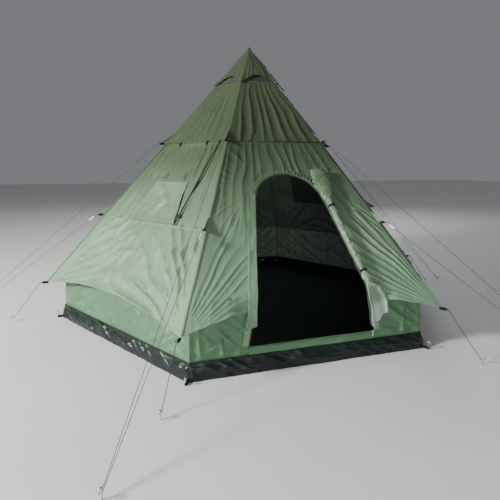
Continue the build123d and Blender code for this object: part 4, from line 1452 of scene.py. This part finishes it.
def strap_grid(turn):
    """The webbing strap beside a window, from the hem down to the seam."""
    low, high = on_roof(SEAM), on_roof(HEM) + 0.008
    spots = [(STRAP, high, 0.0075), (STRAP, high - 0.02, 0.0050), (STRAP, low, 0.0040)]
    face = roof_face(turn)
    line = on_face(turn, spots)
    edge = 0.0004 * np.array([0, 1, 1.2, 1, 0])
    return ribbon(line, face.x, 0.014) + edge[None, :, None] * face.n


# Strips above a window: beside, up and out of the place where each hangs
TIE = [
    (0, 0.090, 0.001),
    (0, 0.070, 0.003),
    (0.002, 0.045, 0.006),
    (0.006, 0.025, 0.012),
    (0.012, 0.030, 0.019),
    (0.014, 0.044, 0.017),
]
HEM_LOOP = [
    (0, 0.020, 0.0065),
    (0, -0.004, 0.0085),
    (0, -0.024, 0.0075),
    (0, -0.036, 0.0050),
    (0, -0.022, 0.0025),
    (0, -0.002, 0.0020),
]


def strips(shape, apart, top, step, width):
    """Two strips above each window, mirrored."""
    grids = []
    for turn in window_turns:
        for side in (-1, 1):
            spots = [(side * (apart + s), top + y, lift) for s, y, lift in shape]
            grids.append(ribbon(on_face(turn, spots, step), roof_face(turn).x, width))
    return grids


window_turns = [FACES[name] for name in WINDOW_FACES]
straps = [strap_grid(turn) for turn in window_turns]
ties = strips(TIE, TIES, on_roof(WINDOW_HIGH), 0.004, 0.010)
loops = strips(HEM_LOOP, LOOPS, on_roof(HEM), 0.003, 0.012)
piece("strap_webbing", straps, "webbing webbing", "webbing", 0.0016, replaced="window_straps")
piece("window_tie_strips", ties, "tape tape", "webbing", WEBBING, replaced="window_ties")
piece("hem_loop_webbing", loops, "webbing webbing", "webbing", WEBBING, replaced="hem_loops")


# Tabs and corner loops ---------------------------------------------------------------------

TABS = [(HEM, UPPER_TAB, 0.105), (SEAM, LOWER_TAB, 0.085)]  # height, reach and rise
EAVE_FOLD = (1.650, 1.691)  # radius of each end of the eave's loop
FLOOR_FOLD = (1.546, 1.5795)  # and of the groundsheet's


def radial(turn, radius, height, beside):
    """A point in the upright plane through a corner, or a little beside it."""
    radius, height, beside = np.broadcast_arrays(radius, height, beside)
    out, side = around(turn, 1), around(turn + 90, 1)
    return (
        radius[..., None] * out
        + height[..., None] * np.array([0, 0, 1.0])
        + beside[..., None] * side
    )


def tab_grid(turn, height, reach, rise, seed):
    """A doubled triangle of cloth between a ridge and the ring."""
    t = spaced((0, 0.06), (1, 1))[None]
    up = spaced((1, 0.07), (0, 1))[:, None]
    inner_height = height + up * rise
    inner_radius = ridge_radius(inner_height) - 0.004
    outer_height = height - 0.004 + 0.018 * up
    radius = inner_radius * (1 - t) + (reach - 0.002) * t
    z = inner_height * (1 - t) + outer_height * t
    slack = 0.010 * np.sin(pi * t) * np.sin(pi * up)  # the upper edge hangs in a little
    wave = 0.0035 * noise(t * 3, up * 2, seed) * np.sin(pi * np.clip(t, 0, 1))
    hem = 0.0006 * (bump(up - 1, 0.12) + bump(up, 0.12))
    return radial(turn, radius - slack * 0.5, z - slack * up, wave + hem)


def webbing_fold(turn, start, end, height, width, gap):
    """A strip of webbing that runs out along one side, round an end and back."""
    bend = np.linspace(-pi / 2, pi / 2, 9)
    spots = [(start + (end - start) * k / 6, gap) for k in range(6)]
    spots += [(end + gap * cos(a), -gap * sin(a)) for a in bend]
    spots += [(end - (end - start) * k / 6, -gap) for k in range(1, 7)]
    line = np.array([radial(turn, r, height, b) for r, b in spots])
    return ribbon(line, (0, 0, 1), width)


tabs, folded = [], []
for number, turn in enumerate(CORNERS.values()):
    for height, reach, rise in TABS:
        tabs.append(tab_grid(turn, height, reach, rise, 140 + number))
        ends = reach - 0.030, reach + 0.001
        folded.append(webbing_fold(turn, *ends, height + 0.005, 0.017, 0.0028))
    folded.append(webbing_fold(turn, *EAVE_FOLD, LOOP_HEIGHT, 0.018, 0.0026))
    folded.append(webbing_fold(turn, *FLOOR_FOLD, 0.0085, 0.014, 0.0050))
piece("tab_cloth", tabs, "tape tape", "canopy_cloth", 2 * CLOTH, 0, replaced="guy_tabs")
piece(
    "corner_webbing", folded, "webbing webbing", "webbing", WEBBING, 0,
    replaced="corner_loops",
)


# Finishes of the CAD parts that stay --------------------------------------------------------

kept = {
    "steel": ["pole_lower", "pole_middle", "pole_upper"],
    "rubber": ["pole_foot"],
    "plastic": ["pole_tip", "strap_buckle_left", "strap_buckle_right", "guy_rings"],
    "slider": ["sill_zip_slider"],
    "dark_slider": ["arch_zip_slider"],
    "runner": [f"runner_{corner}" for corner in CORNERS],
    "peg": ["tent_pegs"],
    "patch": ["pole_patch"],
    "button": ["cap_button"],
}
for look, names in kept.items():
    for name in names:
        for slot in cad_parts[name].material_slots:
            slot.material = finish[look]
